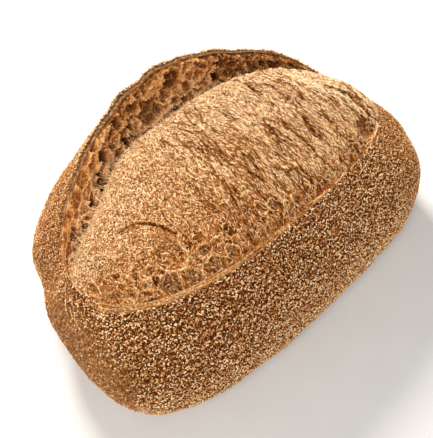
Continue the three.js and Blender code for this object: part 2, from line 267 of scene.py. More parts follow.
def lumps(points, pitch, seed):
    """Value noise from -1 to 1: hashed numbers at the corners of a cube lattice, blended smoothly."""
    p = points / pitch
    base = np.floor(p)
    t = p - base
    t = t * t * (3 - 2 * t)
    total = 0
    for corner in np.ndindex(2, 2, 2):
        c = np.array(corner)
        weight = np.prod(np.where(c == 1, t, 1 - t), -1)
        cell = base + c
        total = total + weight * hashed(cell[..., 0], cell[..., 1], cell[..., 2], seed)
    return total * 2 - 1


def piece_of(name, points_mm, quads, triangles, measures, finish, smooth=True):
    """A mesh object from point, quad and triangle arrays, with one named number a point for its finish. The
    points are moved to the middle of the box and turned to metres; the piece is tied to the root body, and
    the loaf part is hidden."""
    mesh = bpy.data.meshes.new(name)
    points = np.asarray(points_mm - BOX_MIDDLE, np.float32) / 1000
    corners = np.concatenate([np.ravel(quads), np.ravel(triangles)]).astype(np.int32)
    sides = np.concatenate([np.full(len(quads), 4), np.full(len(triangles), 3)]).astype(np.int32)
    mesh.vertices.add(len(points))
    mesh.vertices.foreach_set("co", points.ravel())
    mesh.loops.add(len(corners))
    mesh.loops.foreach_set("vertex_index", corners)
    mesh.polygons.add(len(sides))
    mesh.polygons.foreach_set("loop_start", np.concatenate([[0], np.cumsum(sides)[:-1]]).astype(np.int32))
    mesh.polygons.foreach_set("loop_total", sides)
    mesh.polygons.foreach_set("use_smooth", np.full(len(sides), smooth))
    for label, values in measures.items():
        layer = mesh.attributes.new(label, "FLOAT", "POINT")
        layer.data.foreach_set("value", np.asarray(values, np.float32).ravel())
    mesh.update(calc_edges=True)
    mesh.validate()
    piece = bpy.data.objects.new(name, mesh)
    bpy.context.scene.collection.objects.link(piece)
    mesh.materials.append(finish.material)
    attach(piece, "root")
    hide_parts("loaf")


def closed_piece(name, points, measures, finish, tips=None, at_tips=None):
    """A grid of quads closed round its rows, with a fan of triangles to a point at each end: the given tips,
    or the mean of the end ring. A measure is nothing on the hidden rows that it lacks and at the tips,
    unless it is given there."""
    count, rows = points.shape[:2]
    tips = np.stack([points[0].mean(0), points[-1].mean(0)]) if tips is None else tips
    i, j = np.meshgrid(np.arange(count - 1) * rows, np.arange(rows), indexing="ij")
    k = (j + 1) % rows
    quads = np.stack([i + j, i + rows + j, i + rows + k, i + k], -1).reshape(-1, 4)
    j, k = j[0], k[0]
    last = (count - 1) * rows
    head = np.stack([np.full(rows, count * rows), j, k], -1)
    tail = np.stack([np.full(rows, count * rows + 1), last + k, last + j], -1)
    filled = {}
    for label, values in measures.items():
        values = np.pad(values, ((0, 0), (0, rows - values.shape[1])))
        filled[label] = np.append(values, (at_tips or {}).get(label, [0, 0]))
    body = np.concatenate([points.reshape(-1, 3), tips])
    piece_of(name, body, quads, np.concatenate([head, tail]), filled, finish)


class Finish:
    """A dry material with one shader, built from patterns on the piece's own coordinates."""

    def __init__(self, name, roughness):
        """An even material of the given roughness, with the little gloss that dry food has."""
        self.material = bpy.data.materials.new(name)
        self.material.use_nodes = True
        self.tree = self.material.node_tree
        self.shader = self.tree.nodes["Principled BSDF"]
        self.shader.inputs["Roughness"].default_value = roughness
        self.shader.inputs["Specular IOR Level"].default_value = DRY_GLOSS
        self.place = self.add("TexCoord").outputs["Object"]

    def add(self, kind, settings=None, **sockets):
        """A node with its settings; each socket, by its name or as i and its number, is linked or set."""
        node = self.tree.nodes.new("ShaderNode" + kind)
        for key, value in (settings or {}).items():
            setattr(node, key, value)
        for key, value in sockets.items():
            socket = node.inputs[int(key[1:]) if key[1:].isdigit() else key]
            if isinstance(value, bpy.types.NodeSocket):
                self.tree.links.new(value, socket)
            else:
                socket.default_value = value
        return node

    def own(self, label):
        """The number that each point has under a label."""
        return self.add("Attribute", {"attribute_name": label}).outputs["Fac"]

    def speckle(self, scale, detail, **more):
        """Noise from 0 to 1 on the piece's coordinates, or on others that are given."""
        sockets = {"Vector": self.place, "Scale": scale, "Detail": detail, **more}
        return self.add("TexNoise", **sockets).outputs["Fac"]

    def plus(self, first, second):
        """Sum of two values."""
        return self.add("Math", {"operation": "ADD"}, i0=first, i1=second).outputs[0]

    def scaled_plus(self, value, share, base):
        """A share of one value added to another."""
        return self.add("Math", {"operation": "MULTIPLY_ADD"}, i0=value, i1=share, i2=base).outputs[0]

    def ramp(self, value, stops):
        """Colour ramp through (place, colour) stops, driven by a value."""
        node = self.add("ValToRGB", Fac=value)
        band = node.color_ramp
        while len(band.elements) < len(stops):
            band.elements.new(0.5)
        for element, (place, colour) in zip(band.elements, stops):
            element.position = place
            element.color = (*colour, 1)
        return node.outputs["Color"]

    def blend(self, share, first, second, way="MIX"):
        """Blend from one colour to another by a share."""
        settings = {"data_type": "RGBA", "blend_type": way}
        return self.add("Mix", settings, Factor=share, i6=first, i7=second).outputs[2]

    def bump(self, relief, strength, depth):
        """Fine unevenness of a strength and a depth in metres that follows a value."""
        normal = self.add("Bump", Height=relief, Strength=strength, Distance=depth).outputs["Normal"]
        self.tree.links.new(normal, self.shader.inputs["Normal"])

    def colour(self, colour):
        """Gives the shader its colour."""
        self.tree.links.new(colour, self.shader.inputs["Base Color"])

    def roughness(self, value, low, high):
        """Roughness between two limits that follows a value."""
        uneven = self.add("MapRange", Value=value, i3=low, i4=high).outputs[0]
        self.tree.links.new(uneven, self.shader.inputs["Roughness"])


crust_s = -np.cos(math.pi * np.arange(1, CRUST_STATIONS) / CRUST_STATIONS)[:, None]
crust_opening, lip, crevice, edge, _ = slash_lines(crust_s)
lip_at, root, inner, rim, pull = cut_points(crust_s)
over = np.clip((np.abs(crust_s) - SOLE_SHARE) / (1 - SOLE_SHARE), 0, 1)
down = np.sqrt(1 - over ** 2)
sole_z = BELLY_HEIGHT * (1 - down)
near_half = HALF_WIDTH * super_arc(crust_s, NEAR_PLAN_POWER)
far_half = HALF_WIDTH * super_arc(crust_s, FAR_PLAN_POWER)
near_foot, far_foot = near_half * FOOT_SHARE * down, far_half * FOOT_SHARE * down

q = (np.arange(SOLE_ROWS) / SOLE_ROWS)[None]
sole_rows = np.stack(np.broadcast_arrays(mix(far_foot, -near_foot, q), sole_z), -1)
a = HALF_TURN * (1 - np.arange(LOW_ROWS) / LOW_ROWS)[None]
low_z = BELLY_HEIGHT - (BELLY_HEIGHT - sole_z) * np.sin(a)
near_low = np.stack([-(near_foot + (near_half - near_foot) * np.cos(a)), low_z], -1)
q = np.sin(HALF_TURN * np.arange(UP_ROWS) / UP_ROWS)[None]
v = mix(-1, lip, q)
near_up = crust_line(crust_s, v)
from_lip = np.linalg.norm(near_up - crust_line(crust_s, lip), axis=-1)
ridge = lip_ridge(crust_s) * crust_opening * mound(from_lip / LIP_RIDGE_REACH)
near_up = near_up + crust_outward(crust_s, v) * ridge[..., None]

buried = crust_opening[..., None]
under_lip = lip_at - crust_outward(crust_s, lip) * LIP_THICKNESS * buried
middle_v = mix(lip, crevice, 0.5)
under_bloom = crust_line(crust_s, middle_v) - crust_outward(crust_s, middle_v) * HIDDEN_UNDER_BLOOM * buried
under_root = root - crust_outward(crust_s, crevice) * HIDDEN_UNDER_CREVICE * buried
ear_low, ear_high = inside_ear(root, inner, HIDDEN_IN_EAR[0] * buried, HIDDEN_IN_EAR[1] * buried)
hidden = path_rows([lip_at, under_lip, under_bloom, under_root, ear_low, ear_high, inner], HIDDEN_ROWS)
edge_rows = path_rows([inner, rim], (EDGE_ROWS,))
q = (np.arange(FAR_ROWS) / FAR_ROWS)[None]
v = mix(edge, 1, q)
far_up = crust_line(crust_s, v) + pull * (np.clip(1 - q / EAR_ROOT, 0, 1) ** 2)[..., None]
a = HALF_TURN * (np.arange(LOW_ROWS) / LOW_ROWS)[None]
low_z = BELLY_HEIGHT - (BELLY_HEIGHT - sole_z) * np.sin(a)
far_low = np.stack([far_foot + (far_half - far_foot) * np.cos(a), low_z], -1)

groups = [("sole", sole_rows), ("near", near_low), ("near", near_up), ("hidden", hidden),
          ("edge", edge_rows), ("far", far_up), ("far", far_low)]
crust_zone = np.concatenate([[zone] * rows.shape[1] for zone, rows in groups])
crust_points = in_frame(crust_s, np.concatenate([rows for _, rows in groups], 1))
sealed_left = eased(-crust_s, -SLASH_FROM, SEALED_WITHIN - SLASH_FROM)
sealed = np.maximum(sealed_left, eased(crust_s, SLASH_TO, SLASH_TO + SEALED_WITHIN))
skin = np.maximum(np.isin(crust_zone, ("near", "far"))[None], sealed * (crust_zone != "sole")[None])
skin = np.maximum(skin, eased(sole_z, 1.0, 4.0) * (crust_zone == "sole")[None])
x, y, z = np.moveaxis(crust_points, -1, 0)
calm = np.clip(z / CRUST_CALM, 0, 1)
tip_calm = 1 - np.abs(crust_s) ** TIP_CALM_POWER
pinch_a, pinch_b = crust_s - PINCH_AT[0], y / HALF_WIDTH - PINCH_AT[1]
fold = mound(np.hypot(pinch_a / PINCH_SIZE[0], pinch_b / PINCH_SIZE[1]))
slow = CRUST_WAVE * waves(crust_s * HALF_LENGTH, y, z, CRUST_WAVE_PITCH)
crust_rise = slow * calm * tip_calm - PINCH * fold * calm
grit = (CRUST_LUMP * lumps(crust_points, CRUST_LUMP_PITCH, CRUST_LUMP_SEED)
        + CRUST_GRIT * lumps(crust_points, CRUST_GRIT_PITCH, 5))
crust_rise = crust_rise + grit * np.clip(z / GRIT_CALM, 0, 1)
for sx, sy, sz, reach, rise in SWELLS:
    crust_rise = crust_rise + rise * mound(np.sqrt((x - sx) ** 2 + (y - sy) ** 2 + (z - sz) ** 2) / reach)
wrinkled = eased(-crust_s, 0.84, 0.92) * eased(z, 25, 45) * (1 - eased(np.abs(y - WRINKLE_MIDDLE), 14, 34))
pleats = 1 - 2 * np.abs(lumps(crust_points * WRINKLE_STRETCH, WRINKLE_PITCH, 7))
crust_rise = crust_rise + WRINKLE * wrinkled * pleats
crust_facing = outward_of(crust_points, True)
crust_points = crust_points + crust_facing * (crust_rise * skin)[..., None]
crust_facing = outward_of(crust_points, True)

lip_band = np.zeros(crust_points.shape[:2])
near_from = SOLE_ROWS + LOW_ROWS
near_to = near_from + UP_ROWS
lip_band[:, near_from:near_to] = (np.exp(-(from_lip / BARE_LIP) ** 2) * np.minimum(crust_opening * 3, 1)
                                  * mix(1.0, 0.40, eased(crust_s, -0.1, 0.4)))
lip_band = lip_band * mix(1.0, eased(lumps(crust_points, 3.0, 8), -0.4, 0.2), eased(crust_s, 0.0, 0.3))
lip_band[:, near_to:near_to + HIDDEN_ROWS[0]] = mix(1.0, 0.3, eased(crust_s, -0.1, 0.3))
lip_paleness = eased(crust_s, -0.05, 0.25) * np.ones_like(lip_band)
edge_band = np.zeros_like(lip_band)
edge_band[:, crust_zone == "edge"] = np.array(EDGE_SHADES) * np.minimum(crust_opening * 4, 1)
smooth_end = eased(-crust_s, 0.85, 0.97) * np.ones_like(y) * eased(z, 2, 18) * (1 - eased(y, 25, 45))
on_far = (np.cumsum(crust_zone == "edge") > 0)[None]
fine_coat = np.maximum(0.85 * eased(crust_s, 0.40, 0.76), 0.8 * eased(-crust_s, 0.30, 0.60) * on_far)
fine_coat = fine_coat * np.ones_like(y)
rim_fringe = np.zeros_like(lip_band)
rim_fringe[:, np.flatnonzero(crust_zone == "far")[:FRINGE_ROWS]] = 1
fringed = eased(crust_s, *FRINGE_FROM)
coat = (np.maximum(skin, rim_fringe * fringed) * (1 - 0.45 * smooth_end) * eased(z, 2.0, 4.0)
        * (1 - 0.9 * lip_band) * (1 + 2.0 * rim_fringe * crust_opening * fringed))

baked = Finish("baked_crust", 0.82)
fine = baked.speckle(620.0, 4.0, Roughness=0.6)
broad = baked.speckle(38.0, 3.0)
brown = baked.ramp(fine, [(0.38, (0.044, 0.009, 0.0007)), (0.52, (0.108, 0.028, 0.0045)),
                          (0.66, (0.22, 0.075, 0.019))])
milder = baked.ramp(fine, [(0.38, (0.085, 0.027, 0.006)), (0.52, (0.20, 0.076, 0.022)),
                           (0.66, (0.38, 0.18, 0.07))])
bald = baked.ramp(fine, [(0.38, (0.15, 0.052, 0.014)), (0.53, (0.34, 0.150, 0.052)),
                         (0.66, (0.56, 0.30, 0.13))])
brown_lip = baked.ramp(fine, [(0.38, (0.32, 0.135, 0.042)), (0.64, (0.70, 0.41, 0.18))])
pale_lip = baked.ramp(fine, [(0.38, (0.22, 0.11, 0.046)), (0.50, (0.52, 0.32, 0.165)),
                             (0.64, (0.90, 0.68, 0.45))])
cut_edge = baked.ramp(fine, [(0.38, (0.12, 0.052, 0.019)), (0.52, (0.25, 0.128, 0.056)),
                             (0.64, (0.50, 0.31, 0.165))])
shade = baked.ramp(broad, [(0.3, (0.82, 0.80, 0.78)), (0.7, (1.0, 1.0, 1.0))])
colour = baked.blend(baked.own("fine_coat"), brown, milder)
colour = baked.blend(baked.own("smooth_end"), colour, bald)
lip_colour = baked.blend(baked.own("lip_paleness"), brown_lip, pale_lip)
colour = baked.blend(baked.own("lip"), colour, lip_colour)
colour = baked.blend(baked.own("cut_edge"), colour, cut_edge)
baked.colour(baked.blend(1.0, colour, shade, "MULTIPLY"))
baked.roughness(fine, 0.7, 0.92)
baked.bump(fine, 0.5, 0.0006)

closed_piece(
    "crust", crust_points,
    {"lip": lip_band, "lip_paleness": lip_paleness, "cut_edge": edge_band, "smooth_end": smooth_end,
     "fine_coat": fine_coat},
    baked, np.array([[-HALF_LENGTH, 0, BELLY_HEIGHT], [HALF_LENGTH, 0, BELLY_HEIGHT]]),
    {"smooth_end": [1, 0], "fine_coat": [0, 1]})

# Bloom. The dough that welled up through the slash and set there: a swollen crumb from the lip to the
# crevice, full of burst gas bubbles along the lip and drawn into torn fibres across the loaf.
OPEN_FULLY = 0.25
BLOOM_RISE = 0.21
BLOOM_SINKS = 0.14
BLOOM_LEFT_RISE = 0.2
BLOOM_LEFT_REACH = 0.13
BLOOM_CREST = 0.52
BLOOM_NEAR_POWER = 0.8
BLOOM_FAR_POWER = 2.4
LIP_GROOVE = 1.8
LIP_GROOVE_AT = 3.5
LIP_GROOVE_REACH = 3.5
BLOOM_STATIONS = 690
BLOOM_ROWS = 136
BLOOM_UNDER_ROWS = (2, 2, 2)
BLOOM_UNDER_CREVICE = 12
BLOOM_UNDER = 14
LIP_TUCK = 1.4
LIP_TUCK_ASIDE = 0.6
# Place along, share across, and half sizes along and across.
BUBBLES = [
    (-0.537, 0.226, 7.8, 7.8), (-0.597, 0.084, 5.4, 4.8), (-0.507, 0.068, 4.2, 3.6),
    (-0.423, 0.062, 3.8, 3.4), (-0.339, 0.064, 3.4, 3.0), (-0.427, 0.138, 3.6, 3.2),
    (-0.667, 0.160, 1.9, 1.9), (-0.822, 0.428, 2.4, 5.5), (-0.137, 0.127, 3.0, 3.4),
    (-0.080, 0.100, 3.4, 4.0), (0.015, 0.062, 2.6, 2.4),
]
LARGE_BUBBLE = 6
SMALL_BUBBLES = 260
BUBBLE_SEED = 17
SMALL_WALL = 2.6
MEAN_CHORD = 90
FIBRE_STRETCH = np.array([1, 0.08, 0.08])
CREASE_STRETCH = np.array([1, 0.2, 0.2])
# Place along, share across, radius and depth.
DENTS = [(0.60, 0.065, 10.5, 3.0), (0.69, 0.24, 8.0, 1.2)]
HOLES = [(0.138, 0.034, 2.6, 2.2), (0.394, 0.034, 2.2, 2.0), (0.023, 0.050, 2.2, 1.8)]
# Places along and across on the line of each crack, its half width and its depth.
CRACKS = [
    ([(-0.634, 0.608), (-0.589, 0.572), (-0.548, 0.518), (-0.506, 0.410), (-0.474, 0.297)], 0.6, 0.8),
    ([(0.36, 0.78), (0.338, 0.711), (0.325, 0.66), (0.311, 0.608)], 0.70, 1.6),
    ([(0.411, 0.686), (0.415, 0.64), (0.408, 0.59), (0.379, 0.473)], 0.75, 1.9),
    ([(0.477, 0.660), (0.489, 0.572), (0.475, 0.50), (0.440, 0.428)], 0.80, 2.2),
    ([(0.65, 0.45), (0.694, 0.375), (0.716, 0.297), (0.718, 0.216), (0.70, 0.143), (0.694, 0.072)], 1.2, 2.4),
    ([(0.338, 0.331), (0.326, 0.264), (0.326, 0.216), (0.350, 0.193)], 0.45, 1.3),
    ([(0.242, 0.306), (0.239, 0.264), (0.248, 0.209), (0.245, 0.143), (0.245, 0.096)], 0.45, 1.3),
    ([(0.446, 0.289), (0.435, 0.232), (0.432, 0.171)], 0.40, 1.1),
    ([(0.174, 0.401), (0.171, 0.357), (0.162, 0.314)], 0.40, 1.2),
    ([(-0.020, 0.410), (-0.026, 0.357), (-0.026, 0.314), (-0.032, 0.248)], 0.40, 1.2),
    ([(-0.066, 0.289), (-0.057, 0.248), (-0.044, 0.201)], 0.40, 1.0),
    ([(0.030, 0.224), (0.048, 0.193), (0.067, 0.171), (0.113, 0.164)], 0.42, 1.2),
    ([(0.122, 0.143), (0.135, 0.103), (0.128, 0.066)], 0.40, 1.2),
    ([(0.245, 0.383), (0.251, 0.340), (0.257, 0.314)], 0.40, 1.1),
    ([(-0.072, 0.150), (-0.057, 0.116), (-0.057, 0.084), (-0.066, 0.066), (-0.081, 0.055)], 0.40, 1.2),
    ([(-0.194, 0.264), (-0.209, 0.216), (-0.209, 0.157)], 0.38, 0.9),
]
TEARS = 190
TEAR_SEED = 37
TEAR_NEIGHBOURHOOD = 9
END_FOLD = 2.6
END_FOLD_AT = 97.0
END_FOLD_REACH = 8.5
END_DENT = 2.2
END_DENT_AT = (95, 0.6)
END_DENT_SIZE = (22, 18)


def stations(count):
    """Places along the slash, closer together towards its ends."""
    t = np.linspace(-1, 1, count + 2)[1:-1]
    t = 0.7 * t + 0.3 * np.sin(HALF_TURN * t)
    return ((SLASH_FROM + SLASH_TO) / 2 + (SLASH_TO - SLASH_FROM) / 2 * t)[:, None]


def cells(a, b, pitch, seed):
    """Distances, in shares of the pitch, to the nearest two of points strewn one to a square, a fixed number
    for the nearest, and a slope across its cell in a direction of its own."""
    a, b = a / pitch, b / pitch
    low_a, low_b = np.floor(a), np.floor(b)
    first = np.full(a.shape, 9.0)
    second = first.copy()
    which = np.zeros(a.shape)
    slope = np.zeros(a.shape)
    for i, j in np.ndindex(3, 3):
        ci, cj = low_a + i - 1, low_b + j - 1
        da, db = a - ci - hashed(ci, cj, 0, seed), b - cj - hashed(ci, cj, 1, seed)
        d = np.hypot(da, db)
        way = 2 * math.pi * hashed(ci, cj, 3, seed)
        closer = d < first
        second = np.where(closer, first, np.minimum(second, d))
        which = np.where(closer, hashed(ci, cj, 2, seed), which)
        slope = np.where(closer, da * np.cos(way) + db * np.sin(way), slope)
        first = np.where(closer, d, first)
    return first, second, which, slope


def away_from(line, a, b):
    """Distance from each place to a broken line of points, the least over its straight legs."""
    best = np.full(a.shape, 1e9)
    for (a0, b0), (a1, b1) in zip(line[:-1], line[1:]):
        da, db = a1 - a0, b1 - b0
        t = np.clip(((a - a0) * da + (b - b0) * db) / (da * da + db * db), 0, 1)
        best = np.minimum(best, np.hypot(a - a0 - da * t, b - b0 - db * t))
    return best


def ridge_of(distance, width):
    """One on a line, falling off on both sides: e to the minus square of distance over width."""
    return np.exp(-(distance / width) ** 2)


bloom_s = stations(BLOOM_STATIONS)
opening, lip, crevice, _, _ = slash_lines(bloom_s)
lip_at, root, _, _, _ = cut_points(bloom_s)
lip_out = crust_outward(bloom_s, lip)
start = lip_at + (quarter_turn(lip_out) * LIP_TUCK * LIP_TUCK_ASIDE - lip_out * LIP_TUCK) * opening[..., None]
span = root - start
chord = np.linalg.norm(span, axis=-1)
up = quarter_turn(span) / chord[..., None]
t = (np.arange(BLOOM_ROWS) / BLOOM_ROWS)[None]
bloom_q = 0.6 * t + 0.2 * (1 - np.cos(math.pi * t))
rising = np.sin(HALF_TURN * np.minimum(bloom_q / BLOOM_CREST, 1)) ** BLOOM_NEAR_POWER
falling = np.sqrt(1 - np.clip((bloom_q - BLOOM_CREST) / (1 - BLOOM_CREST), 0, 1) ** BLOOM_FAR_POWER)
arch = np.where(bloom_q < BLOOM_CREST, rising, falling)
across = bloom_q * chord
groove = LIP_GROOVE * opening * mound((across - LIP_GROOVE_AT) / LIP_GROOVE_REACH)
bloom_height = BLOOM_RISE * chord * (1 - BLOOM_SINKS * eased(bloom_s, 0.45, 0.80))
leftmost = eased(bloom_s, SLASH_FROM, SLASH_FROM + BLOOM_LEFT_REACH)
bloom_height = bloom_height * mix(BLOOM_LEFT_RISE, 1.0, leftmost)
swollen = start + span * bloom_q[..., None] + up * (bloom_height * arch - groove)[..., None]
flat = crust_line(bloom_s, mix(lip, crevice, bloom_q))
bloom = in_frame(bloom_s, mix(flat, swollen, np.clip(opening / OPEN_FULLY, 0, 1)[..., None]))
along = np.broadcast_to(bloom_s * HALF_LENGTH, across.shape)
flow = bloom * FIBRE_STRETCH
ripe = np.minimum(opening * 1.5, 1)
hold = np.clip(np.sin(math.pi * bloom_q) * 4, 0, 1) * ripe
rightward = eased(along, -82, -12)
warp_a = along + 0.9 * lumps(bloom, 5.0, 11)
warp_b = across + 0.9 * lumps(bloom, 5.0, 12)

draw = np.random.default_rng(BUBBLE_SEED)
small_s = mix(-0.80, 0.74, draw.random(SMALL_BUBBLES) ** 1.25)
small_reach = mix(0.24, 0.10, eased(small_s, -0.55, 0.1))
small_q = 0.022 + small_reach * draw.random(SMALL_BUBBLES) ** 1.3
small_size = mix(3.6, 0.9, draw.random(SMALL_BUBBLES) ** 0.6) * mix(1.0, 0.6, eased(small_s, -0.2, 0.2))
bubbles = np.array(BUBBLES + [(a, b, r, r * 0.85) for a, b, r in zip(small_s, small_q, small_size)])
clear = np.ones(len(bubbles), bool)
for k in range(len(BUBBLES), len(bubbles)):
    before = bubbles[:k]
    gap = np.hypot((before[:, 0] - bubbles[k, 0]) * HALF_LENGTH, (before[:, 1] - bubbles[k, 1]) * MEAN_CHORD)
    clear[k] = np.all((gap > 0.95 * (before[:, 2] + bubbles[k, 2])) | ~clear[:k])
placed = np.arange(len(bubbles)) < len(BUBBLES)
bubbles = bubbles[clear & (placed | (bubbles[:, 2] > SMALL_WALL))]

low_left = (1 - eased(bloom_q, 0.20, 0.40)) * (1 - eased(along, -50, 0))
lip_reach = mix(15, 7, eased(along, -60, -10))
by_lip = (1 - eased(across, lip_reach, 1.7 * lip_reach)) * mix(1, 0.8, eased(along, -20, 40))
web_weight = np.maximum(low_left, by_lip) * ripe
f1, f2, kind, _ = cells(along + 2.2 * lumps(bloom, 9.0, 13), across + 2.2 * lumps(bloom, 9.0, 14), 8.0, 22)
here = eased(lumps(bloom, 12.0, 15), -0.5, 0.1) * low_left * (1 - by_lip) * ripe
web_wall = ridge_of(f2 - f1, 0.10) * here
web_floor = 0.7 * eased(f2 - f1, 0.10, 0.35) * kind * here
f1, f2, kind, _ = cells(warp_a * 0.9, warp_b, 3.9, 23)
web_wall = np.maximum(web_wall, ridge_of(f2 - f1, 0.17) * by_lip * ripe)
web_floor = np.maximum(web_floor, eased(f2 - f1, 0.12, 0.5) * eased(kind, 0.15, 0.7) * by_lip * ripe)
bloom_rise = 0.7 * web_wall - 0.8 * web_floor
form = np.zeros_like(bloom_rise)
floors = np.zeros_like(bloom_rise)
for at, place_q, reach_a, reach_b in bubbles:
    large = reach_a >= LARGE_BUBBLE
    d = np.hypot((warp_a - at * HALF_LENGTH) / reach_a, (warp_b - place_q * chord) / reach_b)
    deep = min(0.42 * reach_a, 1.5)
    floor_here = 1 - eased(d, max(0.55, 1 - 1.4 / reach_a), 1.0)
    form = form - deep * floor_here
    ring_here = np.exp(-((d - 1.0) * reach_a / 0.55) ** 2)
    web_wall, web_floor = web_wall * (1 - floor_here), web_floor * (1 - floor_here)
    web_wall = np.maximum(web_wall, (0.9 if large else 0.8) * ring_here)
    bloom_rise = bloom_rise * (1 - 0.8 * floor_here) + 0.5 * ring_here
    floors = np.maximum(floors, floor_here * (0.15 if large else 0.75))
dent_sinks = [mound(np.hypot(along - at * HALF_LENGTH, across - place_q * chord) / radius)
              for at, place_q, radius, _ in DENTS]
for sink, (_, _, _, depth) in zip(dent_sinks, DENTS):
    form = form - depth * sink
    floors = np.maximum(floors, 0.4 * sink)
end_fold = mound((along - END_FOLD_AT) / END_FOLD_REACH) * (1 - eased(bloom_q, 0.5, 0.8))
form = form + END_FOLD * end_fold
end_a, end_b = along - END_DENT_AT[0], across - END_DENT_AT[1] * chord
form = form - END_DENT * mound(np.hypot(end_a / END_DENT_SIZE[0], end_b / END_DENT_SIZE[1]))

stipple = 0.20 * lumps(bloom, 1.9, 31) + 0.20 * lumps(bloom, 1.2, 32) + 0.30 * lumps(bloom, 4.2, 33)
split = lumps(flow, 2.0, 34) + 0.35 * lumps(flow, 1.1, 36)
crease = ridge_of(split, 0.12) * eased(lumps(bloom * CREASE_STRETCH, 4.5, 39), -0.35, 0.15)
crease = crease * mix(0.15, 1.0, rightward) * (1 - 0.6 * web_weight)
bloom_rise = bloom_rise + stipple + 0.30 * rightward * lumps(flow, 4.6, 35) - 0.5 * crease

draw = np.random.default_rng(TEAR_SEED)
tear_s = mix(-0.62, 0.76, draw.random(TEARS) ** 0.7)
tear_q = draw.uniform(0.06, 0.93, TEARS)
tear_half = mix(3.5, 14.0, draw.random(TEARS) ** 1.3) * mix(0.5, 1.0, eased(tear_s, -0.4, 0.1))
tear_tilt = draw.normal(0.0, 0.20, TEARS)
tear_bow = draw.normal(0.8, 1.4, TEARS)
tear_deep = mix(0.6, 1.3, draw.random(TEARS) ** 1.2) * mix(0.45, 1.0, eased(tear_s, -0.45, 0.15))
cleft = np.zeros_like(bloom_rise)
flank = np.zeros_like(bloom_rise)
parting = np.zeros_like(bloom_rise)
rough_a = along + 0.6 * lumps(bloom, 3.2, 38)
for at, place_q, half, tilt, bow, deep in zip(tear_s, tear_q, tear_half, tear_tilt, tear_bow, tear_deep):
    near = np.flatnonzero(np.abs(bloom_s[:, 0] - at) * HALF_LENGTH < TEAR_NEIGHBOURHOOD)
    b = across[near] - place_q * chord[near]
    side = rough_a[near] - at * HALF_LENGTH - tilt * b - bow * (b / half) ** 2
    full = mound(b / half) ** 0.5 * deep
    open_here = full * ridge_of(side, 0.40)
    beside = full * ridge_of(side + 1.1, 0.6)
    cleft[near] = np.maximum(cleft[near], open_here)
    parting[near] = np.maximum(parting[near], full * ridge_of(side, 0.56))
    flank[near] = np.maximum(flank[near], beside)
    form[near] = form[near] - 1.5 * open_here + 0.6 * beside
cleft = cleft * (1 - 0.7 * low_left)
shun = np.zeros_like(bloom_rise)
crack_side = np.zeros_like(bloom_rise)
widest = chord.max()
crack_a = along + 0.35 * lumps(bloom, 3.6, 41)
crack_b = bloom_q * widest + 0.35 * lumps(bloom, 3.6, 42)
uneven = mix(0.7, 1.0, eased(lumps(bloom, 5.0, 40), -0.5, 0.3))
for line, reach, depth in CRACKS:
    d = away_from([(ls * HALF_LENGTH, lq * widest) for ls, lq in line], crack_a, crack_b)
    form = form - depth * uneven * ridge_of(d, reach) + 0.5 * ridge_of(d - 1.8, 0.7)
    cleft = np.maximum(cleft, min(depth / 1.3, 1) * uneven * ridge_of(d, 1.1 * reach))
    shun = np.maximum(shun, ridge_of(d, 0.4 + 0.9 * reach))
    crack_side = np.maximum(crack_side, min(depth / 1.5, 1) * ridge_of(d, 0.5 + 1.3 * reach))
shun = np.maximum(shun, 0.8 * np.sqrt(dent_sinks[0]))
for at, place_q, radius, depth in HOLES:
    sink = mound(np.hypot(along - at * HALF_LENGTH, across - place_q * chord) / radius)
    form = form - depth * sink
    cleft = np.maximum(cleft, sink)
    shun = np.maximum(shun, np.sqrt(sink))
ragged = eased(bloom_q, 0.86, 0.97) * np.minimum(opening * 2, 1)
bloom_rise = bloom_rise + ragged * (0.9 * lumps(bloom, 3.4, 43) + 0.6 * lumps(bloom, 1.6, 44))
bloom_rise = bloom_rise * hold
cleft = cleft * hold
slow = (CRUST_WAVE * waves(along, bloom[..., 1], bloom[..., 2], CRUST_WAVE_PITCH)
        * (1 - np.abs(bloom_s) ** TIP_CALM_POWER)
        + CRUST_LUMP * lumps(bloom, CRUST_LUMP_PITCH, CRUST_LUMP_SEED))
bloom = bloom + outward_of(bloom, False) * (bloom_rise + form * hold + slow * (1 - hold))[..., None]
bloom_facing = outward_of(bloom, False)

sunk = opening[..., None]
under_root = root - crust_outward(bloom_s, crevice) * BLOOM_UNDER_CREVICE * sunk
middle_v = mix(lip, crevice, 0.5)
under_bloom = crust_line(bloom_s, middle_v) - crust_outward(bloom_s, middle_v) * BLOOM_UNDER * sunk
under = in_frame(bloom_s, path_rows([root, under_root, under_bloom, start], BLOOM_UNDER_ROWS))
net_tone = 0.6 * web_wall - mix(0.45, 0.8, eased(along, -30, 20)) * web_floor - 0.1 * web_weight
lip_shade = 0.4 * by_lip * eased(along, -60, -30) * (1 - eased(along, -10, 12))
# Painted light and shade in the crumb's tone: raised relief and web walls paler, web floors darker, and
# tears, cracks, holes and creases darkened as painted shade, over the crumb's own stipple.
bloom_tone_and_painted_light = bloom_rise - 2.7 * cleft + (net_tone - 0.9 * crease + 1.2 * end_fold - lip_shade) * hold - 0.50
# Painted highlight: a paler band near the crevice side of the bloom, where the far lamp falls.
lit_edge = eased(bloom_q, 0.74, 0.90) * eased(along, -110, -85) * (1 - eased(along, 45, 85))
bloom_tone_and_painted_light = bloom_tone_and_painted_light + 0.5 * lit_edge
# Paler, dustier crumb toward the crevice and at the right: partly a dusting of flour, partly painted light on
# the side that faces the far lamp.
flour_and_painted_light = (eased(bloom_q, 0.24, 0.80) * mix(0.45, 1.0, eased(along, -50, 30))
          + 0.5 * eased(along, -30, 50) * eased(across, 10, 34) + 0.5 * eased(along, 62, 80))
flour_and_painted_light = np.clip(flour_and_painted_light, 0, 1)


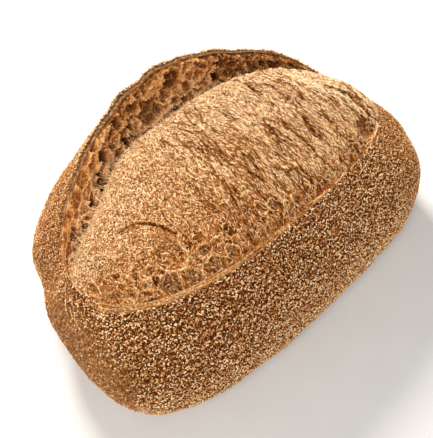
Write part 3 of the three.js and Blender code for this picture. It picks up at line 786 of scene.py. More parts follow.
def with_painted_light(finish, fine, share):
    """A share of fine noise, raised or lowered by each point's own rise: -1.6 gives -0.13, 1.2 gives 0.10."""
    # The rise attribute is a tone with painted light and shade in it: paler on raised relief, darker in
    # hollows and clefts.
    limits = {"i1": -1.6, "i2": 1.2, "i3": -0.13, "i4": 0.10}
    height = finish.add("MapRange", {"clamp": False}, Value=finish.own("rise"), **limits).outputs[0]
    return finish.scaled_plus(fine, share, height)


open_crumb = Finish("open_crumb", 0.85)
drawn_out = open_crumb.add("Mapping", Vector=open_crumb.place, Scale=(1.0, 0.18, 0.3)).outputs[0]
fine = open_crumb.speckle(850.0, 3.0, Roughness=0.6)
fleck = open_crumb.speckle(640.0, 2.0, Roughness=0.6, Vector=drawn_out)
tone = open_crumb.scaled_plus(fleck, 0.4, with_painted_light(open_crumb, fine, 0.6))
browned = open_crumb.ramp(tone, [(0.34, (0.075, 0.016, 0.001)), (0.44, (0.28, 0.080, 0.014)),
                                 (0.53, (0.56, 0.220, 0.056)), (0.65, (0.97, 0.66, 0.32))])
# Paler ramp where the crumb is dusted: flour dust, and in part painted light.
dusted_and_lit = open_crumb.ramp(tone, [(0.33, (0.08, 0.022, 0.004)), (0.43, (0.34, 0.145, 0.049)),
                                (0.53, (0.68, 0.360, 0.150)), (0.65, (1.0, 0.80, 0.51))])
# Greyer, darker crumb on the floors of burst bubbles and dents: partly their own colour, partly painted shade
# in the hollows.
grey_and_shaded_floor = open_crumb.ramp(fine, [(0.38, (0.07, 0.022, 0.006)), (0.52, (0.22, 0.085, 0.027)),
                                    (0.66, (0.66, 0.42, 0.22))])
colour = open_crumb.blend(open_crumb.own("flour"), browned, dusted_and_lit)
open_crumb.colour(open_crumb.blend(open_crumb.own("bubble_floor"), colour, grey_and_shaded_floor))
open_crumb.roughness(fine, 0.72, 0.95)
open_crumb.bump(open_crumb.plus(fine, fleck), 0.8, 0.0008)
closed_piece("bloom", np.concatenate([bloom, under], 1),
             {"rise": bloom_tone_and_painted_light, "flour": flour_and_painted_light, "bubble_floor": floors * hold}, open_crumb)

# Torn side of the ear. The crumb that stayed on the ear when it was lifted off the dough: large gas cells
# torn open, with thin ragged walls standing between their smooth brown floors.
POCKETS = [
    # Place along, share of the ear's height, half sizes along and up, depth and painted shade.
    (0.126, 0.72, 8.5, 6.5, 4.2, 0.25), (0.376, 0.43, 3.6, 3.4, 5.0, 0.9),
    (0.158, 0.25, 4.2, 3.0, 5.0, 0.6), (0.078, 0.17, 5.0, 2.6, 5.0, 0.7),
    (-0.050, 0.45, 11.0, 8.0, 4.0, 0.05), (-0.200, 0.50, 1.8, 5.0, 4.0, 0.5),
    (-0.120, 0.78, 4.5, 3.0, 3.0, 0.15), (-0.248, 0.23, 4.0, 4.0, 5.0, 0.7),
    (-0.408, 0.50, 5.0, 4.6, 5.0, 0.7), (-0.461, 0.38, 4.0, 3.5, 5.0, 0.7),
    (-0.475, 0.30, 4.0, 3.2, 5.0, 0.7), (-0.583, 0.25, 5.0, 3.5, 5.0, 0.45),
    (-0.668, 0.20, 4.5, 2.8, 4.5, 0.5), (-0.684, 0.60, 1.9, 1.9, 3.0, 0.5),
    (-0.739, 0.40, 3.6, 3.4, 4.0, 0.7), (-0.794, 0.48, 3.2, 2.6, 3.5, 0.8),
    (-0.825, 0.50, 2.6, 2.2, 3.0, 0.9), (-0.842, 0.45, 2.6, 2.0, 3.0, 0.9),
]
EAR_STATIONS = 470
FACE_ROWS = 72
FACE_UNDER_ROWS = (2, 2, 2)
FACE_UNDER = (14, 5)
ear_s = stations(EAR_STATIONS)
opening = slash_lines(ear_s)[0]
_, root, inner, _, _ = cut_points(ear_s)
face_t = (np.arange(FACE_ROWS) / FACE_ROWS)[None]
face = in_frame(ear_s, mix(root, inner, face_t[..., None]))
face_size = np.linalg.norm(inner - root, axis=-1)
face_along = np.broadcast_to(ear_s * HALF_LENGTH, face.shape[:2])
face_along = face_along + 1.4 * lumps(face, 5.0, 51) + 0.6 * lumps(face, 1.9, 59)
face_height = face_t * face_size + 1.4 * lumps(face, 5.0, 52) + 0.6 * lumps(face, 1.9, 60)
f1, f2, kind, slope = cells(face_along, face_height * 1.20, 8.5, 53)
bowl = eased(f2 - f1, 0.0, 0.5)
torn_wall = ridge_of(f2 - f1, 0.075) * mix(0.25, 1.0, eased(lumps(face, 7.0, 62), -0.35, 0.35))
face_rise = torn_wall - (1.4 + 2.2 * kind) * bowl + 1.8 * slope
f1, f2, kind, _ = cells(face_along, face_height, 3.8, 54)
small_wall = ridge_of(f2 - f1, 0.16)
face_rise = face_rise + 0.45 * small_wall - 0.8 * kind * eased(f2 - f1, 0.0, 0.5)
face_rise = face_rise + 0.35 * lumps(face, 2.4, 55) + 0.25 * lumps(face, 1.3, 56)
crown = eased(face_t, 0.72, 0.82) * (1 - eased(face_t, 0.92, 0.97)) * eased(lumps(face, 3.2, 58), -0.3, 0.3)
face_rise = face_rise + 1.6 * crown
pocket = np.zeros_like(face_rise)
pocket_shade = np.zeros_like(face_rise)
brink = np.zeros_like(face_rise)
for at, place_t, reach_a, reach_b, depth, dark in POCKETS:
    d = np.hypot((face_along - at * HALF_LENGTH) / reach_a, (face_height - place_t * face_size) / reach_b)
    inside = 1 - eased(d, 0.72, 1.0)
    ridge = ridge_of(d - 1.08, 0.10)
    face_rise = mix(face_rise, face_rise * 0.3 - depth, inside) + 0.9 * ridge
    pocket = np.maximum(pocket, inside)
    pocket_shade = np.maximum(pocket_shade, inside * dark)
    brink = np.maximum(brink, ridge)
face_hold = np.clip(np.minimum(face_t / 0.10, (0.98 - face_t) / 0.06), 0, 1) * np.minimum(opening * 1.5, 1)
face_rise = face_rise * face_hold
face = face + outward_of(face, False) * face_rise[..., None]
face_facing = outward_of(face, False)
sunk = opening[..., None]
ear_low, ear_high = inside_ear(root, inner, FACE_UNDER[0] * sunk, FACE_UNDER[1] * sunk)
under = in_frame(ear_s, path_rows([inner, ear_high, ear_low, root], FACE_UNDER_ROWS))
# Painted light and shade on the torn side: cell floors, pockets, patches at the foot by the crevice, hollows
# at the left end and the band under the rim are darkened as painted shade; torn walls, pocket brinks and the
# ragged crown are paled as painted highlights; the left part is lighter as painted side light and the right
# part darker.
shade_under_rim = eased(face_t, 0.92, 0.98)
crevice_shade = eased(lumps(face, 9.0, 57), 0.05, 0.40) * (1 - eased(face_t, 0.10, 0.24))
wall_tone = 2.0 * torn_wall + 1.1 * small_wall * (1 - 0.6 * eased(face_t, 0.5, 0.8))
face_tone_and_painted_light = (0.06 - bowl + wall_tone * (1 - 0.55 * pocket) + 1.2 * brink * (1 - pocket)
             + 0.25 * np.clip(face_rise, -4, 2) + 0.65 * crown - 0.8 * shade_under_rim - 1.6 * crevice_shade - 2.2 * pocket_shade
             - 0.9 * eased(ear_s, 0.24, 0.5))
face_tone_and_painted_light = face_tone_and_painted_light + 1.35 * eased(-ear_s, 0.30, 0.55) - 0.25 * eased(ear_s, 0.24, 0.5)
hollow_shade = eased(-ear_s, 0.35, 0.5) * (1 - eased(face_t, 0.15, 0.5)) * eased(lumps(face, 6.0, 61), -0.35, 0.15)
face_tone_and_painted_light = face_tone_and_painted_light - 2.0 * hollow_shade - torn_wall * eased(ear_s, 0.2, 0.45)
# Painted shade: a darker, deeper orange ramp toward the top of the face and on the right.
upper = np.maximum(eased(face_t, 0.42, 0.72), 0.7 * eased(ear_s, 0.2, 0.45))

torn_side_crumb = Finish("torn_crumb_side", 0.85)
fine = torn_side_crumb.speckle(850.0, 3.0, Roughness=0.6)
tone = torn_side_crumb.plus(with_painted_light(torn_side_crumb, fine, 0.55), 0.20)
lower_colour = torn_side_crumb.ramp(tone, [(0.14, (0.012, 0.004, 0.001)), (0.36, (0.20, 0.078, 0.024)),
                                           (0.48, (0.50, 0.222, 0.073)), (0.64, (0.94, 0.58, 0.27))])
upper_shade_colour = torn_side_crumb.ramp(tone, [(0.14, (0.012, 0.004, 0.001)), (0.36, (0.145, 0.047, 0.011)),
                                           (0.48, (0.42, 0.147, 0.033)), (0.64, (0.84, 0.43, 0.145))])
torn_side_crumb.colour(torn_side_crumb.blend(torn_side_crumb.own("upper"), lower_colour, upper_shade_colour))
torn_side_crumb.roughness(fine, 0.72, 0.95)
torn_side_crumb.bump(fine, 0.8, 0.0008)
closed_piece("torn_ear_side", np.concatenate([face, under], 1), {"rise": face_tone_and_painted_light, "upper": upper},
             torn_side_crumb)

# Bubble walls. Thin skins of dough between the gas bubbles that burst along the lip: they dried as fine
# raised strings round each bubble, and as ropes along the lip itself. They are part of the crumb.
WALL_SEED = 23
WALL_RADIUS = 0.42
WALL_STEPS = 26
WALL_LIFT = (0.28, 0.45)
RING_FROM = 0.95
RING_SWEEP = -4.3
RING_TONE = 0.14
STRING_SIDES = 5
LIP_STRINGS = 60
LIP_STEPS = 30
LIP_STRING_LIFT = 0.3
WEB_STRINGS = 80
WEB_STEPS = 18
WEB_LIFT = 0.25
# Tone, and places along and across on the line of each string.
MARKED_STRINGS = [
    (0.10, [(0.457, 0.072), (0.490, 0.046), (0.519, 0.028), (0.550, 0.015), (0.577, 0.009)]),
    (0.10, [(0.47, 0.088), (0.50, 0.062), (0.54, 0.042), (0.57, 0.030), (0.60, 0.020)]),
    (0.10, [(-0.84, 0.10), (-0.76, 0.030), (-0.62, 0.016), (-0.45, 0.018), (-0.28, 0.014)]),
    (0.10, [(-0.84, 0.20), (-0.78, 0.070), (-0.68, 0.040), (-0.54, 0.030), (-0.40, 0.034)]),
    (0.04, [(-0.640, 0.624), (-0.589, 0.588), (-0.546, 0.536), (-0.500, 0.428), (-0.467, 0.312)]),
    (0.25, [(0.014, 0.193), (0.030, 0.176), (0.040, 0.158), (0.043, 0.132), (0.033, 0.114)]),
    (0.12, [(-0.109, 0.157), (-0.107, 0.129), (-0.118, 0.103), (-0.140, 0.094), (-0.160, 0.122)]),
    (0.14, [(-0.066, 0.158), (-0.049, 0.118), (-0.048, 0.084), (-0.057, 0.062), (-0.076, 0.048)]),
]
MARKED_RADIUS = 0.34
MARKED_LIFT = 0.35
MARKED_ROUNDING = 0.3


def on_grid(field, i, j):
    """Value of a grid field between its points, blended along and across."""
    i = np.clip(i, 0, field.shape[0] - 1.001)
    j = np.clip(j, 0, field.shape[1] - 1.001)
    a, b = i.astype(int), j.astype(int)
    g, h = (i - a)[..., None], (j - b)[..., None]
    return mix(mix(field[a, b], field[a + 1, b], g), mix(field[a, b + 1], field[a + 1, b + 1], g), h)


def on_bloom(field, s, q):
    """Value of a field of the bloom at a share along and across, between its stations and rows."""
    i = np.interp(s, bloom_s[:, 0], np.arange(BLOOM_STATIONS))
    j = np.interp(q, bloom_q[0], np.arange(BLOOM_ROWS))
    return on_grid(field, i, j)


def chord_at(s):
    """Width of the bloom from lip to crevice at a share along, between its stations."""
    return np.interp(s, bloom_s[:, 0], chord[:, 0])


def traced(marks, steps, rounding):
    """Even steps along lines of marks: straight between two marks, with a share of smooth easing."""
    t = np.linspace(0, marks.shape[1] - 1, steps)
    whole = np.minimum(t.astype(int), marks.shape[1] - 2)
    part = (t - whole)[None, :, None]
    return mix(marks[:, whole], marks[:, whole + 1], eased(part, 0, 1) * rounding + part * (1 - rounding))


def strings(paths, facing, radius, sides):
    """Round strings along many paths at once: rings of corners square to each path, closed at both ends."""
    count, steps = paths.shape[:2]
    ahead = unit(np.gradient(paths, axis=1))
    side = unit(np.cross(ahead, facing))
    lift = np.cross(side, ahead)
    turn = 2 * math.pi * np.arange(sides) / sides
    ring = side[:, :, None] * np.cos(turn)[:, None] + lift[:, :, None] * np.sin(turn)[:, None]
    rings = (paths[:, :, None] + ring * radius[:, :, None, None]).reshape(count, -1, 3)
    body = np.concatenate([rings, paths[:, :1], paths[:, -1:]], 1)
    j = np.arange(sides)
    k = (j + 1) % sides
    rows = (np.arange(steps - 1) * sides)[:, None]
    quads = np.stack([rows + j, rows + k, rows + sides + k, rows + sides + j], -1).reshape(-1, 4)
    last = (steps - 1) * sides
    head = np.stack([np.full(sides, steps * sides), k, j], -1)
    tail = np.stack([np.full(sides, steps * sides + 1), last + j, last + k], -1)
    each = (np.arange(count) * body.shape[1])[:, None, None]
    ends = np.concatenate([head, tail]) + each
    return body.reshape(-1, 3), (quads + each).reshape(-1, 4), ends.reshape(-1, 3)


def laid_strings(s, q, radius, lift, sides, stray=0):
    """Strings on the bloom along paths of shares along and across, lifted off it and straying a little."""
    facing = on_bloom(bloom_facing, s, q)
    return strings(on_bloom(bloom, s, q) + stray + facing * lift, facing, radius, sides)


def joined(sets):
    """Points, quads and triangles of several sets of strings as one, with the corners numbered on."""
    first = np.cumsum([0] + [len(part[0]) for part in sets])
    body = np.concatenate([part[0] for part in sets])
    return body, *(np.concatenate([part[n] + k for part, k in zip(sets, first)]) for n in (1, 2))


draw = np.random.default_rng(WALL_SEED)
count = len(bubbles)
placed = np.arange(count) < len(BUBBLES)
sweep = draw.uniform(4.6, 6.2, (count, 1))
from_turn = draw.uniform(0, 2 * math.pi, (count, 1))
sweep[0], from_turn[0] = RING_SWEEP, RING_FROM
turn = from_turn + sweep * np.linspace(0, 1, WALL_STEPS)[None]
wobble = 1
for times, size in ((2, 0.14), (3, 0.10), (7, 0.05)):
    wobble = wobble + size * np.sin(times * turn + draw.uniform(0, 6, (count, 1)))
wobble[0] = 1 + 0.5 * (wobble[0] - 1)
wall_s = bubbles[:, 0:1] + wobble * bubbles[:, 2:3] * np.cos(turn) / HALF_LENGTH
wall_q = bubbles[:, 1:2] + wobble * bubbles[:, 3:4] * np.sin(turn) / chord_at(bubbles[:, 0:1])
wall_q = np.maximum(wall_q, 0.012)
taper = np.sin(math.pi * np.linspace(0.02, 0.98, WALL_STEPS))[None] ** 0.4
wall_radius = WALL_RADIUS * taper * draw.uniform(0.7, 1.3, (count, 1))
wall_radius = wall_radius * (1 + 0.25 * draw.uniform(-1, 1, wall_s.shape))
wall_radius[placed] = 1.15 * wall_radius[placed]
wall_radius[0] = 1.35 * WALL_RADIUS * taper * (1 + 0.25 * draw.uniform(-1, 1, (1, WALL_STEPS)))
wall_lift = np.where(placed, WALL_LIFT[1], WALL_LIFT[0])[:, None, None]
walls = laid_strings(wall_s, wall_q, wall_radius, wall_lift, STRING_SIDES)

string_s = draw.uniform(SLASH_FROM + 0.05, SLASH_TO - 0.07, (LIP_STRINGS, 1))
string_reach = draw.uniform(0.03, 0.12, (LIP_STRINGS, 1)) * mix(1.0, 0.3, eased(string_s, -0.1, 0.2))
t = np.linspace(-1, 1, LIP_STEPS)[None]
string_s = np.clip(string_s + t * string_reach, SLASH_FROM + 0.02, SLASH_TO - 0.03)
string_away = mix(0.7, 2.6, draw.random((LIP_STRINGS, 1)) ** 1.3) * mix(1, 0.5, eased(string_s, -0.3, 0.2))
string_wave = 0.7 * np.sin(string_s * 40 + draw.uniform(0, 6, (LIP_STRINGS, 1)))
string_away = np.maximum(string_away + 0.6 * string_wave + draw.normal(0, 0.5, (LIP_STRINGS, 1)) * t, 0.5)
string_q = string_away / chord_at(string_s)
string_radius = draw.uniform(0.20, 0.46, (LIP_STRINGS, 1)) * (1 - t ** 4)
string_radius = string_radius * mix(1.0, 0.65, eased(string_s, -0.1, 0.4)) + 0.05
ropes = laid_strings(string_s, string_q, string_radius, LIP_STRING_LIFT, STRING_SIDES)

web_a = mix(-0.84, -0.12, draw.random((WEB_STRINGS, 1)) ** 1.2) * HALF_LENGTH
web_b = mix(2.0, 34.0, draw.random((WEB_STRINGS, 1)) ** 1.4) * mix(1.0, 0.5, eased(web_a, -60, -20))
web_long = draw.uniform(4.0, 13.0, (WEB_STRINGS, 1))
t = np.linspace(0, 1, WEB_STEPS)[None]
heading = draw.uniform(0, 2 * math.pi, (WEB_STRINGS, 1)) + draw.normal(0, 1.5, (WEB_STRINGS, 1)) * t
heading = heading + 0.3 * np.sin(9 * t + draw.uniform(0, 6, (WEB_STRINGS, 1)))
web_a = web_a + np.cumsum(np.cos(heading), 1) * web_long / WEB_STEPS
web_b = np.abs(web_b + np.cumsum(np.sin(heading), 1) * web_long / WEB_STEPS) + 1.2
web_s = np.clip(web_a / HALF_LENGTH, SLASH_FROM + 0.02, 0.1)
web_radius = draw.uniform(0.16, 0.36, (WEB_STRINGS, 1))
web_radius = web_radius * np.sin(math.pi * np.linspace(0.04, 0.96, WEB_STEPS))[None] ** 0.5
webs = laid_strings(web_s, web_b / chord_at(web_s), web_radius, WEB_LIFT, STRING_SIDES)

marks = np.array([path for _, path in MARKED_STRINGS])
mark_s, mark_q = np.moveaxis(traced(marks, LIP_STEPS, MARKED_ROUNDING), -1, 0)
mark_radius = MARKED_RADIUS * draw.uniform(0.6, 1.4, mark_s.shape)
mark_stray = draw.normal(0, 0.16, (*mark_s.shape, 3))
marked = laid_strings(mark_s, mark_q, mark_radius, MARKED_LIFT, STRING_SIDES, mark_stray)
wall_tone = np.where(placed, 0.08, 0.02)
wall_tone[0] = RING_TONE
string_tone = mix(0.0, 0.25, eased(string_s[:, 0], -0.1, 0.4)) + draw.normal(0, 0.06, LIP_STRINGS)
web_tone = draw.normal(0.02, 0.07, WEB_STRINGS)
mark_tone = np.array([tone for tone, _ in MARKED_STRINGS])

dried_string = Finish("dried_dough_string", 0.7)
mottle = dried_string.speckle(900.0, 2.0)
shade = dried_string.plus(mottle, dried_string.own("tone"))
dried_string.colour(dried_string.ramp(shade, [(0.20, (0.13, 0.036, 0.006)), (0.36, (0.34, 0.120, 0.028)),
                                              (0.52, (0.62, 0.285, 0.088)), (0.80, (0.97, 0.72, 0.42))]))
dried_string.roughness(mottle, 0.6, 0.8)
dried_string.bump(mottle, 0.5, 0.0004)
sets = (walls, ropes, webs, marked)
tones = [np.repeat(tone, len(part[0]) // len(tone))
         for part, tone in zip(sets, (wall_tone, string_tone, web_tone, mark_tone))]
piece_of("bubble_walls", *joined(sets), {"tone": np.concatenate(tones)}, dried_string)

# Tear lips. Where the skin of the bloom split across the loaf as it rose, one edge of each tear curled up
# and dried: a thin toasted thread of skin along the tear. It is part of the crumb.
TEAR_LIP_STEPS = 10
TEAR_LIP_SIDES = 4
TEAR_LIP_RADIUS = 0.27
TEAR_LIP_ASIDE = 0.50
TEAR_LIP_LIFT = 0.34
TEAR_LIP_SHARE = 0.92
TEAR_LIP_SEED = 29
draw = np.random.default_rng(TEAR_LIP_SEED)
t = np.linspace(-1, 1, TEAR_LIP_STEPS)[None]
curl_b = TEAR_LIP_SHARE * tear_half[:, None] * t
curl_a = (tear_s[:, None] * HALF_LENGTH + tear_tilt[:, None] * curl_b
          + tear_bow[:, None] * (TEAR_LIP_SHARE * t) ** 2 + TEAR_LIP_ASIDE)
curl_q = np.clip(tear_q[:, None] + curl_b / chord_at(tear_s)[:, None], 0.02, 0.97)
wander = on_bloom((rough_a - along)[..., None], curl_a / HALF_LENGTH, curl_q)[..., 0]
curl_s = (curl_a - wander) / HALF_LENGTH
curl_radius = TEAR_LIP_RADIUS * draw.uniform(0.6, 1.3, (TEARS, 1)) * (1 - t ** 4)
curl_radius = curl_radius * draw.uniform(0.7, 1.3, curl_a.shape) + 0.04
curls = laid_strings(curl_s, curl_q, curl_radius, TEAR_LIP_LIFT, TEAR_LIP_SIDES)
curl_tone = draw.normal(-0.22, 0.09, TEARS) + 0.25 * (1 - eased(tear_s, -0.4, 0.0))
piece_of("tear_lips", *curls, {"tone": np.repeat(curl_tone, len(curls[0]) // TEARS)}, dried_string)

# Crevice strands. Threads of crumb that still hang between the bloom and the torn side of the ear,
# where the ear was pulled off it: pale, thin and uneven. Some lie on the closed seam at the left end.
STRAND_SEED = 29
STRANDS = 44
STRAND_STEPS = 9
STRAND_SIDES = 5
TUFTS = 420
TUFT_STEPS = 6
TUFT_SIDES = 4
TUFT_RISE = 0.9
TUFT_DROOP = np.array([0, 0, 1.5])
# Places on the line of each string, in mm along and across.
SEAM_STRINGS = [
    [(-105.5, 12.7), (-111.7, 7.4), (-117.5, 1.0)], [(-111.7, 7.4), (-114.0, 12.0), (-117.0, 14.0)],
    [(-117.5, 1.0), (-119.5, -3.5), (-121.5, -8.4)], [(-117.0, -3.0), (-118.5, -8.0), (-119.5, -13.6)],
    [(-103.0, 16.0), (-107.5, 14.0), (-112.0, 14.5)], [(-108.0, 5.0), (-112.5, 1.0), (-116.0, -6.0)],
]
SEAM_STEPS = 14
SEAM_LIFT = 0.15
LEFT_END = -90
SKYWARD = np.array([0.0, 0.0, 1.0])
draw = np.random.default_rng(STRAND_SEED)
strand_s = mix(-0.85, -0.36, draw.random(STRANDS) ** 1.4)[:, None]
start_at = on_bloom(bloom, strand_s, draw.uniform(0.90, 0.99, (STRANDS, 1)))
end_s = strand_s + draw.normal(0, 0.02, (STRANDS, 1))
end_i = np.interp(end_s, ear_s[:, 0], np.arange(EAR_STATIONS))
end_at = on_grid(face, end_i, draw.uniform(0.05, 0.42, (STRANDS, 1)) * FACE_ROWS)
t = np.linspace(0, 1, STRAND_STEPS)[None, :, None]
strand_at = mix(start_at, end_at, t)
bow = draw.normal(0, 2.2, (STRANDS, 1, 3)) + np.array([0, 0, 0.4])
strand_at = strand_at + bow * np.sin(math.pi * t) + draw.normal(0, 0.35, strand_at.shape)
strand_radius = draw.uniform(0.18, 0.58, (STRANDS, 1)) * (0.5 + 1.2 * (t[..., 0] - 0.5) ** 2 * 4)
strands = strings(strand_at, SKYWARD, strand_radius, STRAND_SIDES)

tuft_s = mix(-0.80, 0.45, draw.random((TUFTS, 1)) ** 1.3)
tuft_q = draw.uniform(0.84, 0.975, (TUFTS, 1))
tuft_way = unit(on_bloom(np.gradient(bloom, axis=1), tuft_s, tuft_q))
tuft_way = tuft_way + TUFT_RISE * on_bloom(bloom_facing, tuft_s, tuft_q)
tuft_way = tuft_way + draw.normal(0, 0.5, tuft_way.shape)
t = np.linspace(0, 1, TUFT_STEPS)[None, :, None]
tuft_at = on_bloom(bloom, tuft_s, tuft_q) + tuft_way * t * draw.uniform(1.5, 5.0, (TUFTS, 1, 1))
tuft_at = tuft_at - TUFT_DROOP * t ** 2
tuft_at = tuft_at + draw.normal(0, 0.18, tuft_at.shape)
tuft_radius = draw.uniform(0.10, 0.24, (TUFTS, 1)) * (1.1 - t[..., 0])
tufts = strings(tuft_at, SKYWARD, tuft_radius, TUFT_SIDES)

seam_at = traced(np.array(SEAM_STRINGS), SEAM_STEPS, 0)
seam_at = seam_at + draw.normal(0, 0.3, seam_at.shape)
on_skin = np.isin(crust_zone, ("near", "far"))[None] & (crust_points[..., 2] > BELLY_HEIGHT)
skin_at = crust_points[on_skin]
skin_at = skin_at[skin_at[:, 0] < LEFT_END]
away = np.linalg.norm(seam_at[:, :, None] - skin_at[None, None, :, :2], axis=-1)
seam_at = np.concatenate([seam_at, skin_at[away.argmin(-1), 2][..., None] + SEAM_LIFT], -1)
seams = strings(seam_at, SKYWARD, draw.uniform(0.12, 0.48, seam_at.shape[:2]), STRAND_SIDES)

pale_thread = Finish("pale_crumb_thread", 0.8)
mottle = pale_thread.speckle(700.0, 2.0)
pale_thread.colour(pale_thread.ramp(mottle, [(0.36, (0.47, 0.225, 0.080)), (0.62, (0.86, 0.60, 0.34))]))
pale_thread.roughness(mottle, 0.7, 0.9)
pale_thread.bump(mottle, 0.5, 0.0004)
piece_of("crevice_strands", *joined((strands, tufts, seams)), {}, pale_thread)

# Crumb fibres and torn flakes. The skin of the bloom is a felt of short dried fibres of gluten and bran,
# most of them drawn across the loaf; the torn side of the ear stands in small ragged flakes.
FIBRES = 24000
FIBRE_SEED = 71
FIBRE_HALF = (0.95, 0.28, 0.18)
FIBRE_TILT = 0.40
FIBRE_PROUD = 0.12
FIBRE_TONE = (0.52, 0.44)
LONG_FIBRES = 1300
LONG_TRIES = 1.4
LONG_TONE = (0.24, 0.18)
CHIPS = 15500
CHIP_SEED = 73
CHIP_HALF = (0.85, 0.26, 0.22)
CHIP_TILT = 0.55
CHIP_PROUD = 0.22
CHIP_TONE = (0.58, 0.42)
FLAKES = 3600
FLAKE_SEED = 72
FLAKE_HALF = (0.85, 0.42, 0.12)
FLAKE_TILT = 1.2
FLAKE_PROUD = 0.3
FLAKE_TONE = (0.62, 0.22)
GRAIN_SIDES = 4
TEAR_SHADE = 0.6
FIBRE_STOPS = [(0.15, (0.16, 0.039, 0.005)), (0.58, (0.54, 0.208, 0.048)), (1.0, (0.98, 0.72, 0.39))]
DUSTY_AND_LIT_STOPS = [(0.15, (0.18, 0.057, 0.012)), (0.58, (0.62, 0.305, 0.113)), (1.0, (1.0, 0.80, 0.51))]
FLAKE_STOPS = [(0.15, (0.20, 0.060, 0.012)), (0.60, (0.60, 0.255, 0.076)), (1.0, (0.96, 0.63, 0.33))]


def strewn(draw, count, points, weight, fields):
    """Places on a grid surface, spread by the area of each quad times its weight, with other fields there."""
    a, b = points[:-1], points[1:]
    c, d = np.roll(b, -1, 1), np.roll(a, -1, 1)
    area = np.linalg.norm(np.cross(c - a, d - b), axis=-1) / 2
    beside = np.roll(weight, -1, 1)
    w = (weight[:-1] + weight[1:] + beside[:-1] + beside[1:]) / 4
    total = np.cumsum((area * w).ravel())
    at = np.searchsorted(total, (np.arange(count) + draw.random(count)) / count * total[-1])
    i, j = np.divmod(np.minimum(at, len(total) - 1), points.shape[1])
    k = (j + 1) % points.shape[1]
    g, h = draw.random((2, count, 1))
    fields = [field.reshape(*field.shape[:2], -1) for field in (points, *fields)]
    return [mix(mix(f[i, j], f[i + 1, j], g), mix(f[i, k], f[i + 1, k], g), h) for f in fields]


def grains(draw, at, facing, half, tilt, proud, lie=None):
    """Flat uneven grains: a ring of corners round each place, and a point above and below it. They lie
    along the given direction, or any way."""
    count = len(at)
    facing = unit(facing)
    lean = unit(facing + tilt * draw.uniform(-1, 1, (count, 3)))
    long_way = draw.normal(size=(count, 3)) if lie is None else lie
    first = unit(long_way - lean * np.sum(long_way * lean, -1, keepdims=True))
    second = np.cross(lean, first)
    size = draw.uniform(0.6, 1.4, (count, 1, 1))
    corner = (count, GRAIN_SIDES)
    turn = 2 * math.pi * (np.arange(GRAIN_SIDES) + draw.uniform(-0.2, 0.2, corner)) / GRAIN_SIDES
    reach = draw.uniform(0.75, 1.15, corner)
    ring = (first[:, None] * (np.cos(turn) * reach * half[0])[..., None]
            + second[:, None] * (np.sin(turn) * reach * half[1])[..., None]
            + lean[:, None] * (draw.uniform(-0.4, 0.4, corner) * half[2])[..., None])
    peaks = np.stack([lean * half[2], -lean * half[2]], 1)
    body = np.concatenate([ring, peaks], 1) * size + at[:, None] + facing[:, None] * proud
    j = np.arange(GRAIN_SIDES)
    k = (j + 1) % GRAIN_SIDES
    above = np.stack([j, k, np.full(GRAIN_SIDES, GRAIN_SIDES)], -1)
    below = np.stack([k, j, np.full(GRAIN_SIDES, GRAIN_SIDES + 1)], -1)
    faces = np.concatenate([above, below])[None] + (np.arange(count) * (GRAIN_SIDES + 2))[:, None, None]
    return body.reshape(-1, 3), faces.reshape(-1, 3)


def toned_finish(name, roughness, stops, dusty_and_lit_stops=None):
    """Dry grain: each one has its own shade by its tone, mottled by fine noise; paler by flour dust and
    painted light.
    """
    finish = Finish(name, roughness)
    mottle = finish.speckle(1500.0, 2.0)
    value = finish.scaled_plus(mottle, 0.3, finish.own("tone"))
    colour = finish.ramp(value, stops)
    if dusty_and_lit_stops:
        colour = finish.blend(finish.own("dusty"), colour, finish.ramp(value, dusty_and_lit_stops))
    finish.colour(colour)
    finish.roughness(mottle, roughness - 0.12, roughness + 0.12)
    finish.bump(mottle, 0.4, 0.0003)
    return finish


def lay(name, body, faces, measures, finish):
    """Joins grains to one faceted piece of the loaf, each with its own measures on all its corners."""
    corners = len(body) // len(measures["tone"])
    measures = {label: np.repeat(values, corners) for label, values in measures.items()}
    piece_of(name, body, np.zeros((0, 4), int), faces, measures, finish, False)


draw = np.random.default_rng(FIBRE_SEED)
drawn = unit(np.gradient(bloom, axis=1))
fibre_weight = (eased(bloom_q, 0.01, 0.03) * (1 - eased(bloom_q, 0.975, 0.99)) * (1 - 0.85 * floors)
                * (1 - eased(cleft, 0.06, 0.2)) * (1 - eased(parting, 0.20, 0.45)) * (1 - 0.8 * web_floor)
                * (1 - eased(shun, 0.25, 0.6)) * (1 - 0.6 * crease) * (1 - 0.75 * web_wall)
                * (1 - 0.4 * web_weight))
loose = mix(1.1, 0.15, rightward) + 0.5 * web_weight
streak = (0.7 * lumps(flow, 0.95, 76) + 0.4 * lumps(flow, 1.8, 77)) * mix(0.15, 1.0, rightward)
# Painted light and shade for the grains on the bloom: paler on raised relief, darker in clefts, creases and
# flanks, paler by the lip at the middle right and darker by it at the left.
lip_side = 1 - eased(bloom_q, 0.10, 0.32)
lip_light = lip_side * (2.6 * eased(along, -8, 14) * (1 - eased(along, 45, 65))
                        - 0.8 * eased(along, -75, -50) * (1 - eased(along, -30, -10)))
painted_light_and_shade = bloom_rise - 2 * cleft - crease - 0.7 * flank + lip_light
